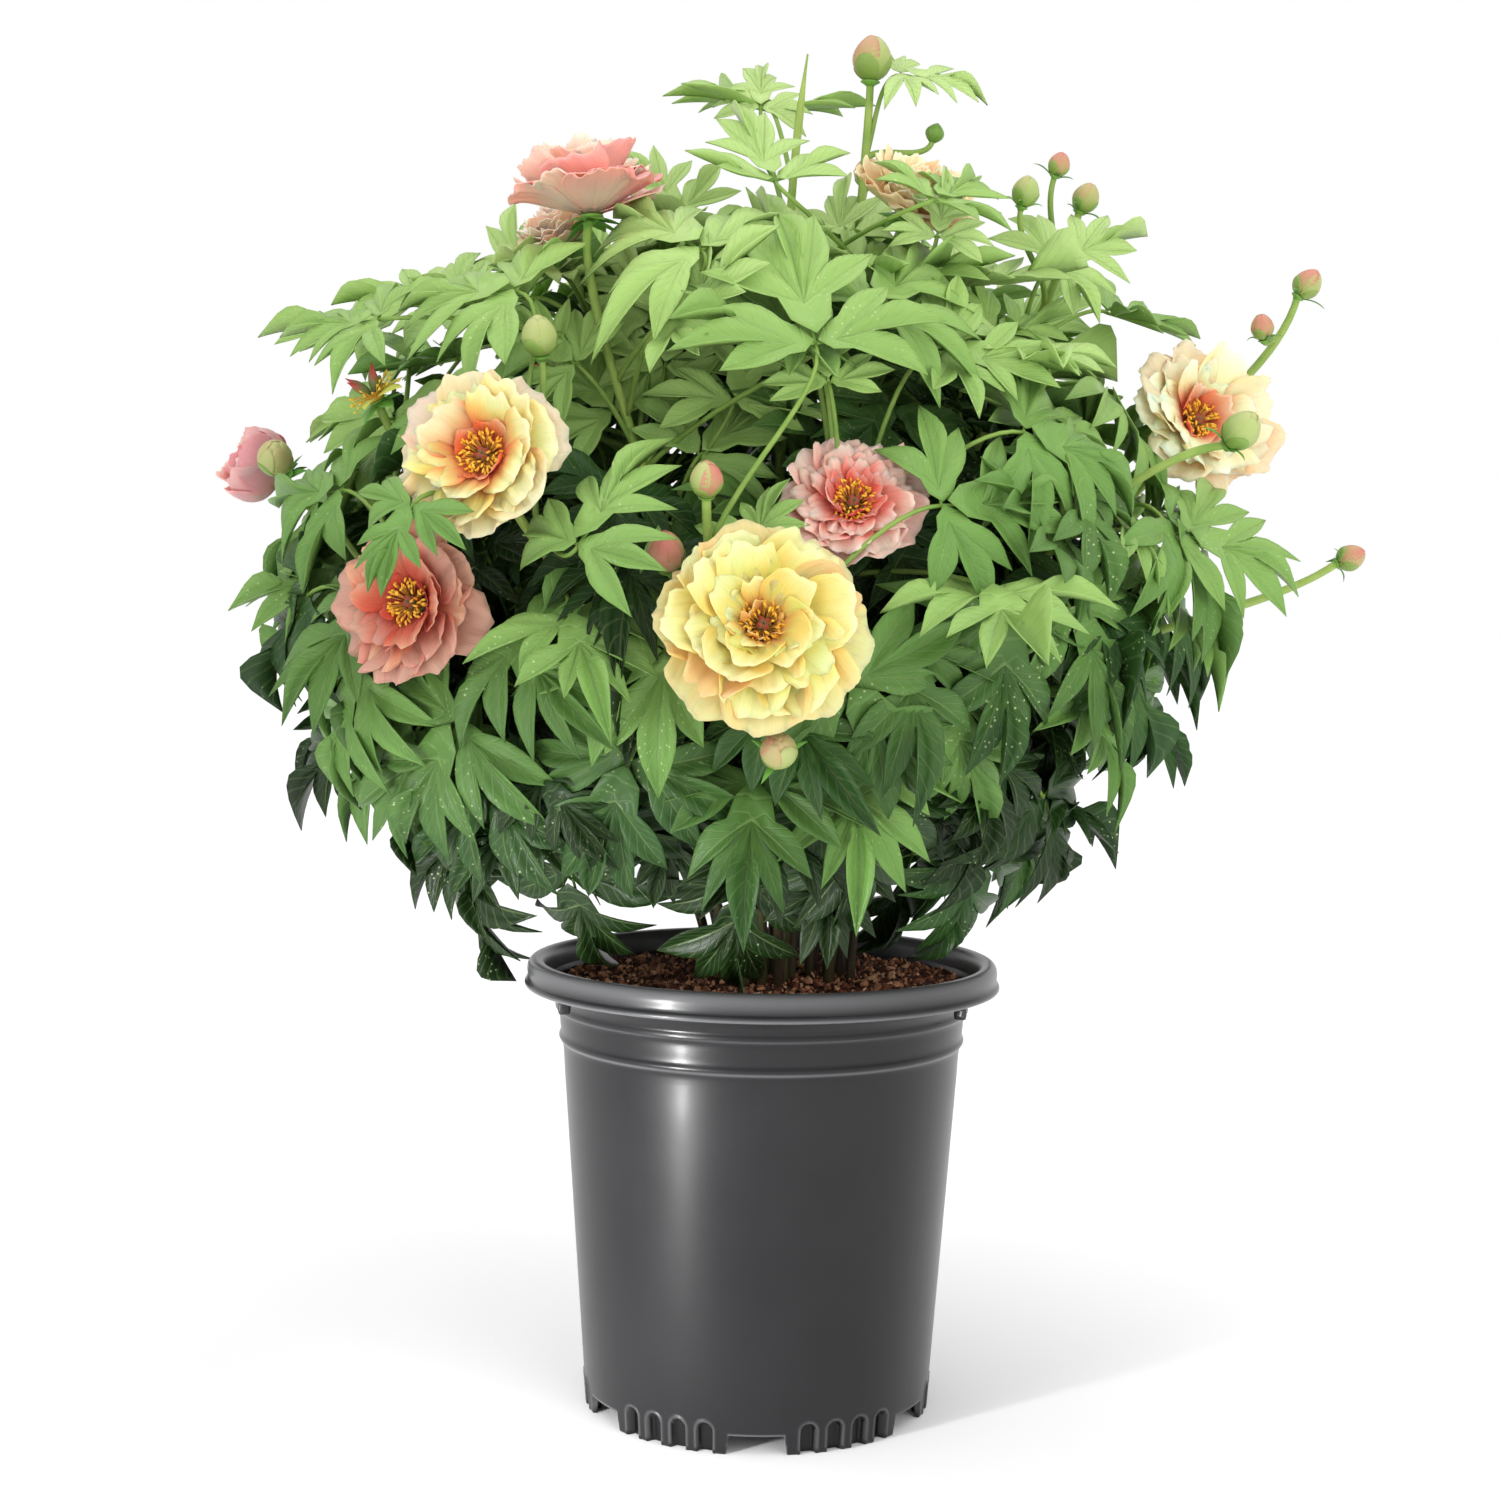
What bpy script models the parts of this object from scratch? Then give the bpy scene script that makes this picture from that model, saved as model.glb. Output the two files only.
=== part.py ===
"""A peony bush in bloom, in its black nursery pot. Metres, +Z up.

The pot's axis is Z, its foot stands on Z = 0, and -Y is the side that is seen first. The pot
and the potting mix are turned shapes. The bush is leafy stems, which stand in plain holes in
the mix, with blooms and buds on their ends. Tables say where each bloom, bud and leaf is, and
each leaf then takes the first of its seeded draws that is clear of all the other stems.
"""

import math

import bmesh
import bpy
import numpy as np
from mathutils import Matrix, Vector
from mathutils.bvhtree import BVHTree

MM = 0.001

# Pot
POT_HEIGHT = 0.2645
RIM_RADIUS = 0.140
COLLAR_RADIUS = 0.1208
BODY_RADIUS = 0.1172
FOOT_RADIUS = 0.1016
WALL = 0.002
LIP_BOTTOM = 0.249
FLOOR_BOTTOM = 0.0125
PAD_RADIUS = 0.030
POT_SIDES = 30
GROUPS = 6
RIBS = ((-18, 0.0), (-9, 0.0009), (0, 0.0016), (9, 0.0009), (18, 0.0))
RIB_RADIUS = 0.0040
RIB_DEPTH = 0.0026
RIB_BOTTOM, RIB_HEIGHT = 0.0006, 0.0155
NOTCH_WIDTH = 0.033
NOTCH_HEIGHT = 0.0110
DRAIN_RADIUS = 0.006
DRAIN_CIRCLE = 0.078

# Potting mix
GAP = 0.0004
MIX_TOP = 0.2500
MIX_RINGS = (0.0, 0.052, 0.092)
LUMP = 0.0013
HOLE_DEPTH = 0.030
HOLE_RADIUS = 0.0042

# Bush
BUSH_CENTRE = np.array((-0.020, 0.0, 0.505))
BUSH_RADII = np.array((0.255, 0.250, 0.235))
LEAF_DEPTH_SHARE = 0.88
CROWN = np.array((0.004, 0.0))
CROWN_SHARE = 0.13
ROOT_SPACING = 0.0105
STEM_RADIUS = 0.0031
STEM_TOP_SHARE = 0.72
BRANCH_RADIUS = 0.0018
STALK_SHORT = 0.0007
STEM_POINTS = 7
BLADE = 0.0008
PETAL = 0.0008
CLEARANCE = 0.0005
SHARP_DEGREES = 40
LEAF_LENGTH = 0.064
LEAF_ARCH = 0.15
STEM_SEED = 7
STEM_SWAY = 0.0015
STEM_DRAWS = 60
LEAF_SEED = 41
LEAF_DRAWS = 240
FIRST_STRAY, LAST_STRAY = 0.3, 2.0
LEAF_SLIP, LEAF_LIFT = 0.012, 0.018
LEAF_TILT = 0.16
STALK_BACK, STALK_DROP = 0.030, 0.045

# A leaf is one arched blade with three hands round its fork. A hand's rim goes round its hub:
# for each point its angle in degrees, its distance from the hub and its rise, as shares of the
# leaf's length. The far points are the tips of lobes, and the near ones the cuts between them.
SIDE_RIM = ((-32, 0.72, 0.0), (-15, 0.44, 0.03), (0, 0.88, 0.0), (15, 0.44, 0.03), (32, 0.72, 0.0))
MIDDLE_RIM = (
    (-72, 0.32, 0.04), (-56, 0.74, 0.0), (-42, 0.42, 0.04), (-33, 0.14, 0.01),
    (-19, 0.82, 0.0), (-8.5, 0.56, 0.03), (0, 1.0, 0.0), (8.5, 0.56, 0.03), (19, 0.82, 0.0),
    (33, 0.14, 0.01), (42, 0.42, 0.04), (56, 0.74, 0.0), (72, 0.32, 0.04),
)
HANDS = ((-84, 0.15, SIDE_RIM), (0, 0.36, MIDDLE_RIM), (84, 0.15, SIDE_RIM))
LOBE_REACH = 0.7
NECK = 0.0012
NECK_BACK = 0.0030
STALK_HALF = 0.0014

# Blooms: centre of the face in mm, facing, diameter in mm, petals in each ring from outside
# in, whether the stamens show, and colour.
BLOOMS = {
    "bloom_01": ((-3, -262, 466), (0.05, -0.93, 0.28), 102, (7, 5, 2), True, "yellow"),
    "bloom_02": ((-145, -222, 547), (-0.25, -0.92, 0.25), 92, (7, 4), True, "yellow"),
    "bloom_03": ((-187, -178, 472), (-0.40, -0.90, 0.10), 80, (6, 3), True, "coral"),
    "bloom_04": ((42, -195, 527), (0.10, -0.88, 0.42), 77, (6, 3), True, "coral"),
    "bloom_05": ((-98, -120, 694), (-0.05, 0.05, 1.0), 82, (6, 3), False, "peach"),
    "bloom_06": ((76, -90, 696), (0.35, -0.45, 0.80), 66, (5, 2), False, "peach"),
    "bloom_07": ((250, -20, 585), (0.40, -0.85, 0.30), 88, (6, 3), True, "yellow"),
    "bloom_08": ((-297, 10, 549), (-0.85, -0.20, 0.35), 56, (5, 2), False, "rose"),
    "bloom_09": ((-119, -60, 680), (-0.40, -0.30, 0.85), 52, (4, 2), False, "peach"),
    "bloom_10": ((70, 225, 520), (0.25, 0.90, 0.30), 94, (6, 3), True, "yellow"),
    "bloom_11": ((-150, 170, 600), (-0.50, 0.75, 0.40), 86, (5, 3), True, "peach"),
    "bloom_12": ((190, 160, 440), (0.60, 0.75, 0.20), 80, (5, 3), True, "coral"),
}
PETAL_COLOURS = {
    "yellow": (0.900, 0.700, 0.330),
    "coral": (0.800, 0.270, 0.190),
    "peach": (0.880, 0.520, 0.350),
    "rose": (0.760, 0.270, 0.290),
}
# Rings of petals from outside in: steepness at the base and at the tip in degrees, length and
# width as shares of the bloom's radius, and start from the axis in mm.
PETAL_RINGS = (
    (38, 6, 1.00, 0.86, 6.5),
    (62, 26, 0.84, 0.80, 7.5),
    (72, 48, 0.66, 0.62, 9.6),
)

# Petals are tilted round the bloom like a pinwheel, by a share of its radius.
PINWHEEL = 0.09
PETAL_NOTCH = 0.07
# Seats lie behind the face: as a share of a bloom's diameter, and in metres for the spent one.
BLOOM_BACK = 0.20
SPENT_BACK = 0.006
# Green cups, each by radius and height: in metres, and as shares of the size for a bud.
BLOOM_CALYX = (0.0065, 0.005)
SPENT_CALYX = (0.0045, 0.003)
BUD_CALYX = (0.26, 0.16)
# Stamens from outside in: how many, their lean and their length.
STAMEN_RINGS = ((5, 0.50, 0.0125), (2, 0.20, 0.0105))
CORE_HEIGHT = 0.0052
CORE_RADIUS = 0.0052

# Buds: centre in mm, facing, diameter in mm.
BUDS = {
    "bud_01": ((55, -20, 784), (0.05, 0.0, 1.0), 22),
    "bud_02": ((142, -40, 707), (0.25, -0.1, 1.0), 15),
    "bud_03": ((163, -20, 726), (0.35, 0.0, 1.0), 12),
    "bud_04": ((180, -10, 709), (0.45, 0.0, 1.0), 15),
    "bud_05": ((-118, -190, 606), (-0.1, -0.4, 1.0), 18),
    "bud_06": ((-32, -235, 533), (0.0, -0.5, 1.0), 16),
    "bud_07": ((-52, -222, 498), (-0.1, -0.6, 0.8), 19),
    "bud_08": ((5, -245, 402), (0.0, -0.8, 0.3), 18),
    "bud_09": ((316, 20, 666), (0.6, 0.0, 0.8), 16),
    "bud_10": ((288, 10, 639), (-0.2, -0.2, 1.0), 13),
    "bud_11": ((256, -95, 571), (0.5, -0.5, 0.7), 20),
    "bud_12": ((341, 0, 505), (0.9, 0.0, 0.4), 15),
    "bud_13": ((-280, -45, 552), (0.1, -0.8, 0.5), 20),
    "bud_14": ((60, 120, 745), (0.1, 0.3, 1.0), 17),
}
BUD_TALL = 1.12
SPENT_BLOOM = ((-214, -120, 584), (-0.5, -0.3, 0.8), 30)
GREEN_TIPS = {
    "tip_01": ((92, -20, 744), (0.3, 0.0, 1.0), 11),
    "tip_02": ((-233, -130, 517), (-0.4, -0.2, 0.8), 11),
}

# Stems: what the stem ends in, its two bends in mm where it isn't left to the rule, and what
# its branches end in, with the place along the stem where each leaves it.
STEMS = {
    "leafy_stem_01": ("bloom_01", None, (("bud_08", 0.62),)),
    "leafy_stem_02": ("bloom_02", None, (("bud_05", 0.70),)),
    "leafy_stem_03": ("bloom_03", None, (("tip_02", 0.72),)),
    "leafy_stem_04": ("bloom_04", None, ()),
    "leafy_stem_05": ("bloom_05", ((-50, -120, 420), (-75, -165, 600)), ()),
    "leafy_stem_06": ("bloom_06", None, ()),
    "leafy_stem_07": ("bloom_07", None, ()),
    "leafy_stem_08": ("bud_09", ((60, 20, 470), (262, 22, 590)), (("bud_10", 0.90),)),
    "leafy_stem_09": ("bloom_08", None, (("bud_13", 0.80),)),
    "leafy_stem_10": ("bloom_09", None, ()),
    "leafy_stem_11": ("bud_06", None, (("bud_07", 0.74),)),
    "leafy_stem_12": ("spent_bloom", None, ()),
    "leafy_stem_13": ("stub", None, ()),
    "leafy_stem_14": ("bud_01", None, (("tip_01", 0.86),)),
    "leafy_stem_15": ("bud_04", None, (("bud_02", 0.80), ("bud_03", 0.84))),
    "leafy_stem_16": ("bud_12", ((60, -10, 460), (265, -5, 452)), ()),
    "leafy_stem_17": ("bloom_10", None, ()),
    "leafy_stem_18": ("bloom_11", None, (("bud_14", 0.66),)),
    "leafy_stem_19": ("bloom_12", None, ()),
    "leafy_stem_20": ("bud_11", ((72, -48, 446), (194, -102, 562)), ()),
}
STUB = ((18, -40, 782), (0.12, 0.0, 1.0))
SEPAL_LENGTHS = {"bloom_05": 0.019, "bloom_08": 0.016, "bud_09": 0.012, "bud_11": 0.012, "bud_04": 0.010}

# Leaves: place of the fork across and up in mm, aim in degrees (0 right, 90 up), size, and
# the turns about the bush at which the leaf comes again on the sides that aren't seen first.
LEAVES = (
    (45, 372, -85, 1.05, (0,)),
    (92, 425, -62, 0.95, (0,)),
    (121, 467, -88, 1.10, (0,)),
    (196, 451, -50, 1.00, (0, 170)),
    (149, 369, -50, 1.00, (0,)),
    (119, 336, -78, 0.95, (0,)),
    (-14, 322, -100, 1.00, (0, 125)),
    (-105, 322, -95, 1.00, (0,)),
    (-177, 308, -110, 1.00, (0,)),
    (-139, 374, -140, 1.00, (0, 180)),
    (-160, 410, -135, 1.05, (0,)),
    (-214, 436, -140, 1.00, (0, 150)),
    (-53, 447, -172, 1.05, (0, 215)),
    (-73, 390, -110, 1.05, (0,)),
    (-83, 511, 50, 1.00, (0,)),
    (83, 519, 15, 0.95, (0, 185)),
    (127, 564, 5, 1.00, (0,)),
    (19, 600, 100, 1.10, (0, 180)),
    (54, 627, 60, 1.05, (0,)),
    (-1, 755, 90, 1.00, (0,)),
    (-128, 630, 150, 1.00, (0, 160)),
    (-197, 621, 170, 1.00, (0,)),
    (-251, 476, -168, 1.00, (0,)),
    (-226, 531, 165, 0.90, (0,)),
    (198, 650, 30, 1.00, (0,)),
    (205, 601, -5, 1.00, (0,)),
    (216, 520, -25, 1.10, (0, 165)),
    (-1, 698, 95, 1.00, (0,)),
    (70, 675, 65, 1.00, (0,)),
    (-34, 654, 120, 1.05, (0, 195)),
)


def unit(vector):
    vector = np.asarray(vector, float)
    return vector / np.linalg.norm(vector)


def frame_of(axis):
    """Two directions across the axis, and the axis."""
    axis = unit(axis)
    across = unit(np.cross((0.0, 0.0, 1.0) if abs(axis[2]) < 0.9 else (0.0, 1.0, 0.0), axis))
    return across, np.cross(axis, across), axis


def bezier(a, b, c, d, count):
    t = np.linspace(0.0, 1.0, count)[:, None]
    return (1 - t) ** 3 * a + 3 * (1 - t) ** 2 * t * b + 3 * (1 - t) * t**2 * c + t**3 * d


def turned(vector, degrees):
    """A vector turned about +Z."""
    a = math.radians(degrees)
    x, y, z = vector
    return np.array((x * math.cos(a) - y * math.sin(a), x * math.sin(a) + y * math.cos(a), z))


def make_material(name, colour, roughness):
    material = bpy.data.materials.new(name)
    material.use_nodes = True
    shader = material.node_tree.nodes["Principled BSDF"]
    shader.inputs["Base Color"].default_value = (*colour, 1.0)
    shader.inputs["Roughness"].default_value = roughness
    return material


def mesh_object(name, points, faces, collection):
    mesh = bpy.data.meshes.new(name)
    mesh.from_pydata([tuple(p) for p in points], [], [tuple(f) for f in faces])
    made = bpy.data.objects.new(name, mesh)
    collection.objects.link(made)
    return made


def blade_object(name, surface, thickness, collection):
    """A leaf blade or petal: its open surface of triangles, given its thickness by Solidify."""
    made = mesh_object(name, *surface, collection)
    solidify = made.modifiers.new("thickness", "SOLIDIFY")
    solidify.thickness = thickness
    solidify.offset = 0.0
    return made


def primitive_object(name, make, matrix, collection):
    """An object whose mesh is one bmesh primitive, placed by a matrix."""
    shape = bmesh.new()
    make(shape)
    bmesh.ops.transform(shape, matrix=matrix, verts=shape.verts)
    mesh = bpy.data.meshes.new(name)
    shape.to_mesh(mesh)
    shape.free()
    made = bpy.data.objects.new(name, mesh)
    collection.objects.link(made)
    return made


def cone_object(name, start, end, radius, end_radius, sides, collection):
    """A cylinder or cone from start to end."""
    start, end = Vector(start), Vector(end)
    way = end - start
    turn = way.to_track_quat("Z", "Y").to_matrix().to_4x4()
    matrix = Matrix.Translation((start + end) / 2) @ turn

    def make(shape):
        bmesh.ops.create_cone(
            shape, cap_ends=True, segments=sides, radius1=radius, radius2=end_radius, depth=way.length
        )

    return primitive_object(name, make, matrix, collection)


def tube_object(name, path, radii, collection):
    """A stalk: a POLY curve with a bevel and filled caps, made a mesh with its caps welded."""
    curve = bpy.data.curves.new(name, "CURVE")
    curve.dimensions = "3D"
    curve.bevel_depth = 1.0
    curve.bevel_resolution = 0
    curve.use_fill_caps = True
    spline = curve.splines.new("POLY")
    spline.points.add(len(path) - 1)
    for point, place, radius in zip(spline.points, path, radii):
        point.co = (*place, 1.0)
        point.radius = radius
    guide = bpy.data.objects.new(name + "_path", curve)
    collection.objects.link(guide)
    bpy.context.view_layer.update()
    graph = bpy.context.evaluated_depsgraph_get()
    mesh = bpy.data.meshes.new_from_object(guide.evaluated_get(graph))
    shape = bmesh.new()
    shape.from_mesh(mesh)
    bmesh.ops.remove_doubles(shape, verts=shape.verts, dist=1e-6)
    bmesh.ops.recalc_face_normals(shape, faces=shape.faces)
    shape.to_mesh(mesh)
    shape.free()
    made = bpy.data.objects.new(name, mesh)
    made.matrix_world = guide.matrix_world
    collection.objects.link(made)
    bpy.data.objects.remove(guide)
    return made


def joined(name, pieces, parts, material, smooth=False):
    """One solid made of all the pieces, by one Boolean union on their collection."""
    body, rest = pieces[0], pieces[1:]
    body.name = name
    body.data.name = name
    parts.objects.link(body)
    helpers = bpy.data.collections.new(name + "_pieces")
    bpy.context.scene.collection.children.link(helpers)
    for piece in rest:
        helpers.objects.link(piece)
    if rest:
        union = body.modifiers.new("union", "BOOLEAN")
        union.operation = "UNION"
        union.operand_type = "COLLECTION"
        union.collection = helpers
        union.solver = "MANIFOLD"
    bpy.context.view_layer.update()
    graph = bpy.context.evaluated_depsgraph_get()
    mesh = bpy.data.meshes.new_from_object(body.evaluated_get(graph))
    body.modifiers.clear()
    body.data = mesh
    for piece in list(helpers.objects):
        bpy.data.objects.remove(piece)
    bpy.data.collections.remove(helpers)
    for other in list(body.users_collection):
        if other is not parts:
            other.objects.unlink(body)
    body.data.materials.clear()
    body.data.materials.append(material)
    if smooth:
        mesh.shade_smooth()
        mesh.set_sharp_from_angle(angle=math.radians(SHARP_DEGREES))
    return body


def pot_profile():
    """(radius, height) down the inside, over the lip, down the outside and back to the axis."""
    upper_ridge, lower_ridge = LIP_BOTTOM - 0.0125, LIP_BOTTOM - 0.0310
    inside = [
        (0.0, WALL),
        (PAD_RADIUS - 0.001, WALL),
        (PAD_RADIUS + 0.004, FLOOR_BOTTOM + WALL),
        (FOOT_RADIUS - WALL + 0.0010, FLOOR_BOTTOM + WALL),
        (BODY_RADIUS - WALL, lower_ridge - 0.0030),
        (COLLAR_RADIUS - 0.0012 - WALL, upper_ridge),
        (RIM_RADIUS - 0.0135, LIP_BOTTOM + 0.003),
    ]
    lip = [
        (RIM_RADIUS - 0.0110, POT_HEIGHT - 0.0020),
        (RIM_RADIUS - 0.0065, POT_HEIGHT),
        (RIM_RADIUS - 0.0018, POT_HEIGHT - 0.0020),
        (RIM_RADIUS, POT_HEIGHT - 0.0070),
        (RIM_RADIUS - 0.0020, LIP_BOTTOM),
        (RIM_RADIUS - 0.0125, LIP_BOTTOM - 0.0015),
    ]
    outside = [
        (COLLAR_RADIUS, LIP_BOTTOM - 0.0100),
        (COLLAR_RADIUS + 0.0010, upper_ridge),
        (COLLAR_RADIUS - 0.0012, upper_ridge - 0.0025),
        (BODY_RADIUS + 0.0012, lower_ridge + 0.0025),
        (BODY_RADIUS + 0.0022, lower_ridge),
        (BODY_RADIUS, lower_ridge - 0.0030),
        (FOOT_RADIUS, 0.0),
    ]
    foot = [
        (FOOT_RADIUS - 1.4 * WALL, 0.0),
        (FOOT_RADIUS - 1.4 * WALL, FLOOR_BOTTOM),
        (PAD_RADIUS + 0.0055, FLOOR_BOTTOM),
        (PAD_RADIUS, 0.0),
        (0.0, 0.0),
    ]
    return inside + lip + outside + foot


def turned_object(name, profile, sides, collection):
    """A profile at +X carried round Z by a Screw modifier."""
    points = [(r, 0.0, z) for r, z in profile]
    mesh = bpy.data.meshes.new(name)
    mesh.from_pydata(points, [(i, i + 1) for i in range(len(points) - 1)], [])
    made = bpy.data.objects.new(name, mesh)
    collection.objects.link(made)
    screw = made.modifiers.new("turn", "SCREW")
    screw.steps = screw.render_steps = sides
    screw.use_merge_vertices = True
    screw.merge_threshold = 0.0001
    return made


def around(radius, degrees, z):
    """A point at a bearing from the front, counted towards +X."""
    a = math.radians(degrees)
    return Vector((radius * math.sin(a), -radius * math.cos(a), z))


def cut(body, cutters, name):
    """Takes a collection of cutters out of a body, and hides them."""
    difference = body.modifiers.new(name, "BOOLEAN")
    difference.operation = "DIFFERENCE"
    difference.operand_type = "COLLECTION"
    difference.collection = cutters
    difference.solver = "MANIFOLD"
    for cutter in cutters.objects:
        cutter.hide_render = True
        cutter.display_type = "WIRE"


def fill_collection(name):
    made = bpy.data.collections.new(name)
    bpy.context.scene.collection.children.link(made)
    return made


def make_pot(parts, material):
    """Nursery pot: rolled lip, collar with two ridges, ribbed and notched foot, drain holes."""
    work = fill_collection("pot_work")
    pieces = [turned_object("pot", pot_profile(), POT_SIDES, work)]
    for group in range(GROUPS):
        middle = (group + 0.5) * 360 / GROUPS
        for offset, taller in RIBS:
            pieces.append(rib_object(middle + offset, taller, work))
    for bearing in (-60, 60, 180):
        pieces.append(lug_object(bearing, work))
    pot = joined("pot", pieces, parts, material, smooth=True)
    bpy.data.collections.remove(work)
    return pot


def cut_foot(pot):
    """Six wide notches under the foot's edge and six drain holes in the floor."""
    cutters = fill_collection("pot_cutters")
    for group in range(GROUPS):
        bearing = group * 360 / GROUPS
        notch_cutter(bearing, cutters)
        low, high = around(DRAIN_CIRCLE, bearing, 0.0), around(DRAIN_CIRCLE, bearing, 0.02)
        cone_object(f"drain_{group}", low, high, DRAIN_RADIUS, DRAIN_RADIUS, 8, cutters)
    cut(pot, cutters, "notches and drains")


def rib_object(bearing, taller, collection):
    """One upright finger of the foot: a block that narrows upwards."""
    turn = Matrix.Rotation(math.radians(bearing), 4, "Z")
    middle = FOOT_RADIUS + 0.0010
    rows = ((RIB_BOTTOM + 0.3 * taller, 1.0), (RIB_HEIGHT + taller, 0.6))
    sides = 4

    def make(shape):
        rings = []
        for z, share in rows:
            ring = []
            for k in range(sides):
                a = 2 * math.pi * (k + 0.5) / sides
                x, y = RIB_RADIUS * share * math.cos(a), RIB_DEPTH * share * math.sin(a)
                ring.append(shape.verts.new((x, y - middle, z)))
            rings.append(ring)
        for low, high in zip(rings, rings[1:]):
            for k in range(sides):
                n = (k + 1) % sides
                shape.faces.new((low[k], low[n], high[n], high[k]))
        shape.faces.new(rings[0][::-1])
        shape.faces.new(rings[-1])

    return primitive_object(f"rib_{bearing}", make, turn, collection)


def lug_object(bearing, collection):
    """Small upright lug under the lip."""
    turn = Matrix.Rotation(math.radians(bearing), 4, "Z")
    size = Matrix.Diagonal((0.0032, 0.0074, 0.0095, 1.0))
    place = Matrix.Translation((0.0, -(COLLAR_RADIUS + 0.0085), LIP_BOTTOM - 0.0045))

    def make(shape):
        bmesh.ops.create_cube(shape, size=1.0)

    return primitive_object(f"lug_{bearing}", make, turn @ place @ size, collection)


def notch_cutter(bearing, collection):
    """Wide drain notch under the foot's edge."""
    turn = Matrix.Rotation(math.radians(bearing), 4, "Z")
    size = Matrix.Diagonal((NOTCH_WIDTH, 0.014, 2 * NOTCH_HEIGHT, 1.0))
    place = Matrix.Translation((0.0, -FOOT_RADIUS, 0.0))

    def make(shape):
        bmesh.ops.create_cube(shape, size=1.0)

    return primitive_object(f"notch_{bearing}", make, turn @ place @ size, collection)


def make_mix(parts, material):
    """Potting mix: fills the pot up to below the lip, lumpy on top."""
    floor = FLOOR_BOTTOM + WALL + GAP
    low_radius = FOOT_RADIUS - WALL + 0.0010 - GAP
    profile = [(r, MIX_TOP + 0.003 * (1 - r / 0.12)) for r in MIX_RINGS]
    profile += [
        (RIM_RADIUS - 0.0180, MIX_TOP - 0.0015),
        (COLLAR_RADIUS - 0.0012 - WALL - GAP, LIP_BOTTOM - 0.0125),
        (BODY_RADIUS - WALL - GAP, LIP_BOTTOM - 0.0340),
        (low_radius, floor),
        (PAD_RADIUS + 0.006, floor),
        (0.0, floor),
    ]
    work = fill_collection("mix_work")
    mix = turned_object("potting_mix", profile, POT_SIDES, work)
    mix = joined("potting_mix", [mix], parts, material, smooth=True)
    bpy.data.collections.remove(work)
    for vertex in mix.data.vertices:
        x, y, z = vertex.co
        if z > MIX_TOP - 0.0005:
            vertex.co.z += LUMP * (math.sin(310 * x + 1.3) * math.cos(270 * y) + math.sin(190 * (x - y)))
    return mix


def cut_root_holes(mix, roots):
    """A plain hole for the foot of each stem."""
    cutters = fill_collection("root_holes")
    for k, root in enumerate(roots):
        low = (root[0], root[1], MIX_TOP - HOLE_DEPTH)
        high = (root[0], root[1], MIX_TOP + 0.02)
        cone_object(f"hole_{k:02d}", low, high, HOLE_RADIUS, HOLE_RADIUS, 5, cutters)
    cut(mix, cutters, "root holes")


def leaf_surface(fork, ahead, face, size, vary, start):
    """Open surface of one leaf: a strip for its stalk, then hands of pointed lobes in one blade.

    Each hand is a fan of triangles round its hub. The blade falls off with the square of the
    distance from the fork, and its lobes are raised between their ribs. The stalk's strip
    comes from the start, which lies inside the stem.
    """
    side = np.cross(face, ahead)
    points = [(-NECK_BACK, -NECK, 0.0), (-NECK_BACK, NECK, 0.0)]
    edge, triangles = [0], []
    length = LEAF_LENGTH * size

    def add(x, y, rise=0.0):
        points.append((x, y, rise - vary["arch"] * (x * x + y * y) / length))
        return len(points) - 1

    for number, (bearing, hub_out, outline) in enumerate(HANDS):
        turn = math.radians(bearing + vary["turns"][number])
        hub_x, hub_y = hub_out * length * math.cos(turn), hub_out * length * math.sin(turn)
        hub = add(hub_x, hub_y)
        rim = [edge[-1]]
        for k, (angle, reach, rise) in enumerate(outline):
            a = turn + math.radians(angle)
            reach *= length * (vary["reaches"][number][k] if reach > LOBE_REACH else 1.0)
            rim.append(add(hub_x + reach * math.cos(a), hub_y + reach * math.sin(a), rise * length))
        if number < 2:
            corner = math.radians((-1, 1)[number] * 40)
            rim.append(add(0.05 * length * math.cos(corner), 0.05 * length * math.sin(corner)))
        else:
            rim.append(1)
        triangles += [(hub, a, b) for a, b in zip(rim, rim[1:])]
        triangles.append((hub, rim[-1], rim[0]))
        edge.append(rim[-1])
    triangles += [(edge[0], edge[1], edge[2]), (edge[0], edge[2], edge[3])]
    local = np.array(points)
    placed = fork + local[:, :1] * ahead + local[:, 1:2] * side + local[:, 2:] * face
    across = unit(side - unit(fork - start) * (side @ unit(fork - start))) * STALK_HALF
    first = len(placed)
    triangles += [(first, 0, 1), (first, 1, first + 1)]
    return np.vstack((placed, start - across, start + across)), triangles


def leaf_frame(leaf, turn):
    """Fork, aim and face of a leaf of the table, on the bush's round, turned about the bush."""
    x, z, aim, size, _ = leaf
    flat = (np.array((x * MM, 0.0, z * MM)) - BUSH_CENTRE) / BUSH_RADII
    depth = math.sqrt(max(0.0, 1.0 - (flat**2).sum())) * BUSH_RADII[1] * LEAF_DEPTH_SHARE
    fork = np.array((x * MM, -depth, z * MM))
    out = (fork - BUSH_CENTRE) / BUSH_RADII**2
    face = unit(unit(out) + np.array((0.0, -0.25, 0.45)))
    a = math.radians(aim)
    aimed = np.array((math.cos(a), 0.0, math.sin(a)))
    ahead = unit(aimed - face * (aimed @ face))
    axis = np.array((BUSH_CENTRE[0], 0.0, 0.0))
    return turned(fork - axis, turn) + axis, turned(ahead, turn), turned(face, turn), size


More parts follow.
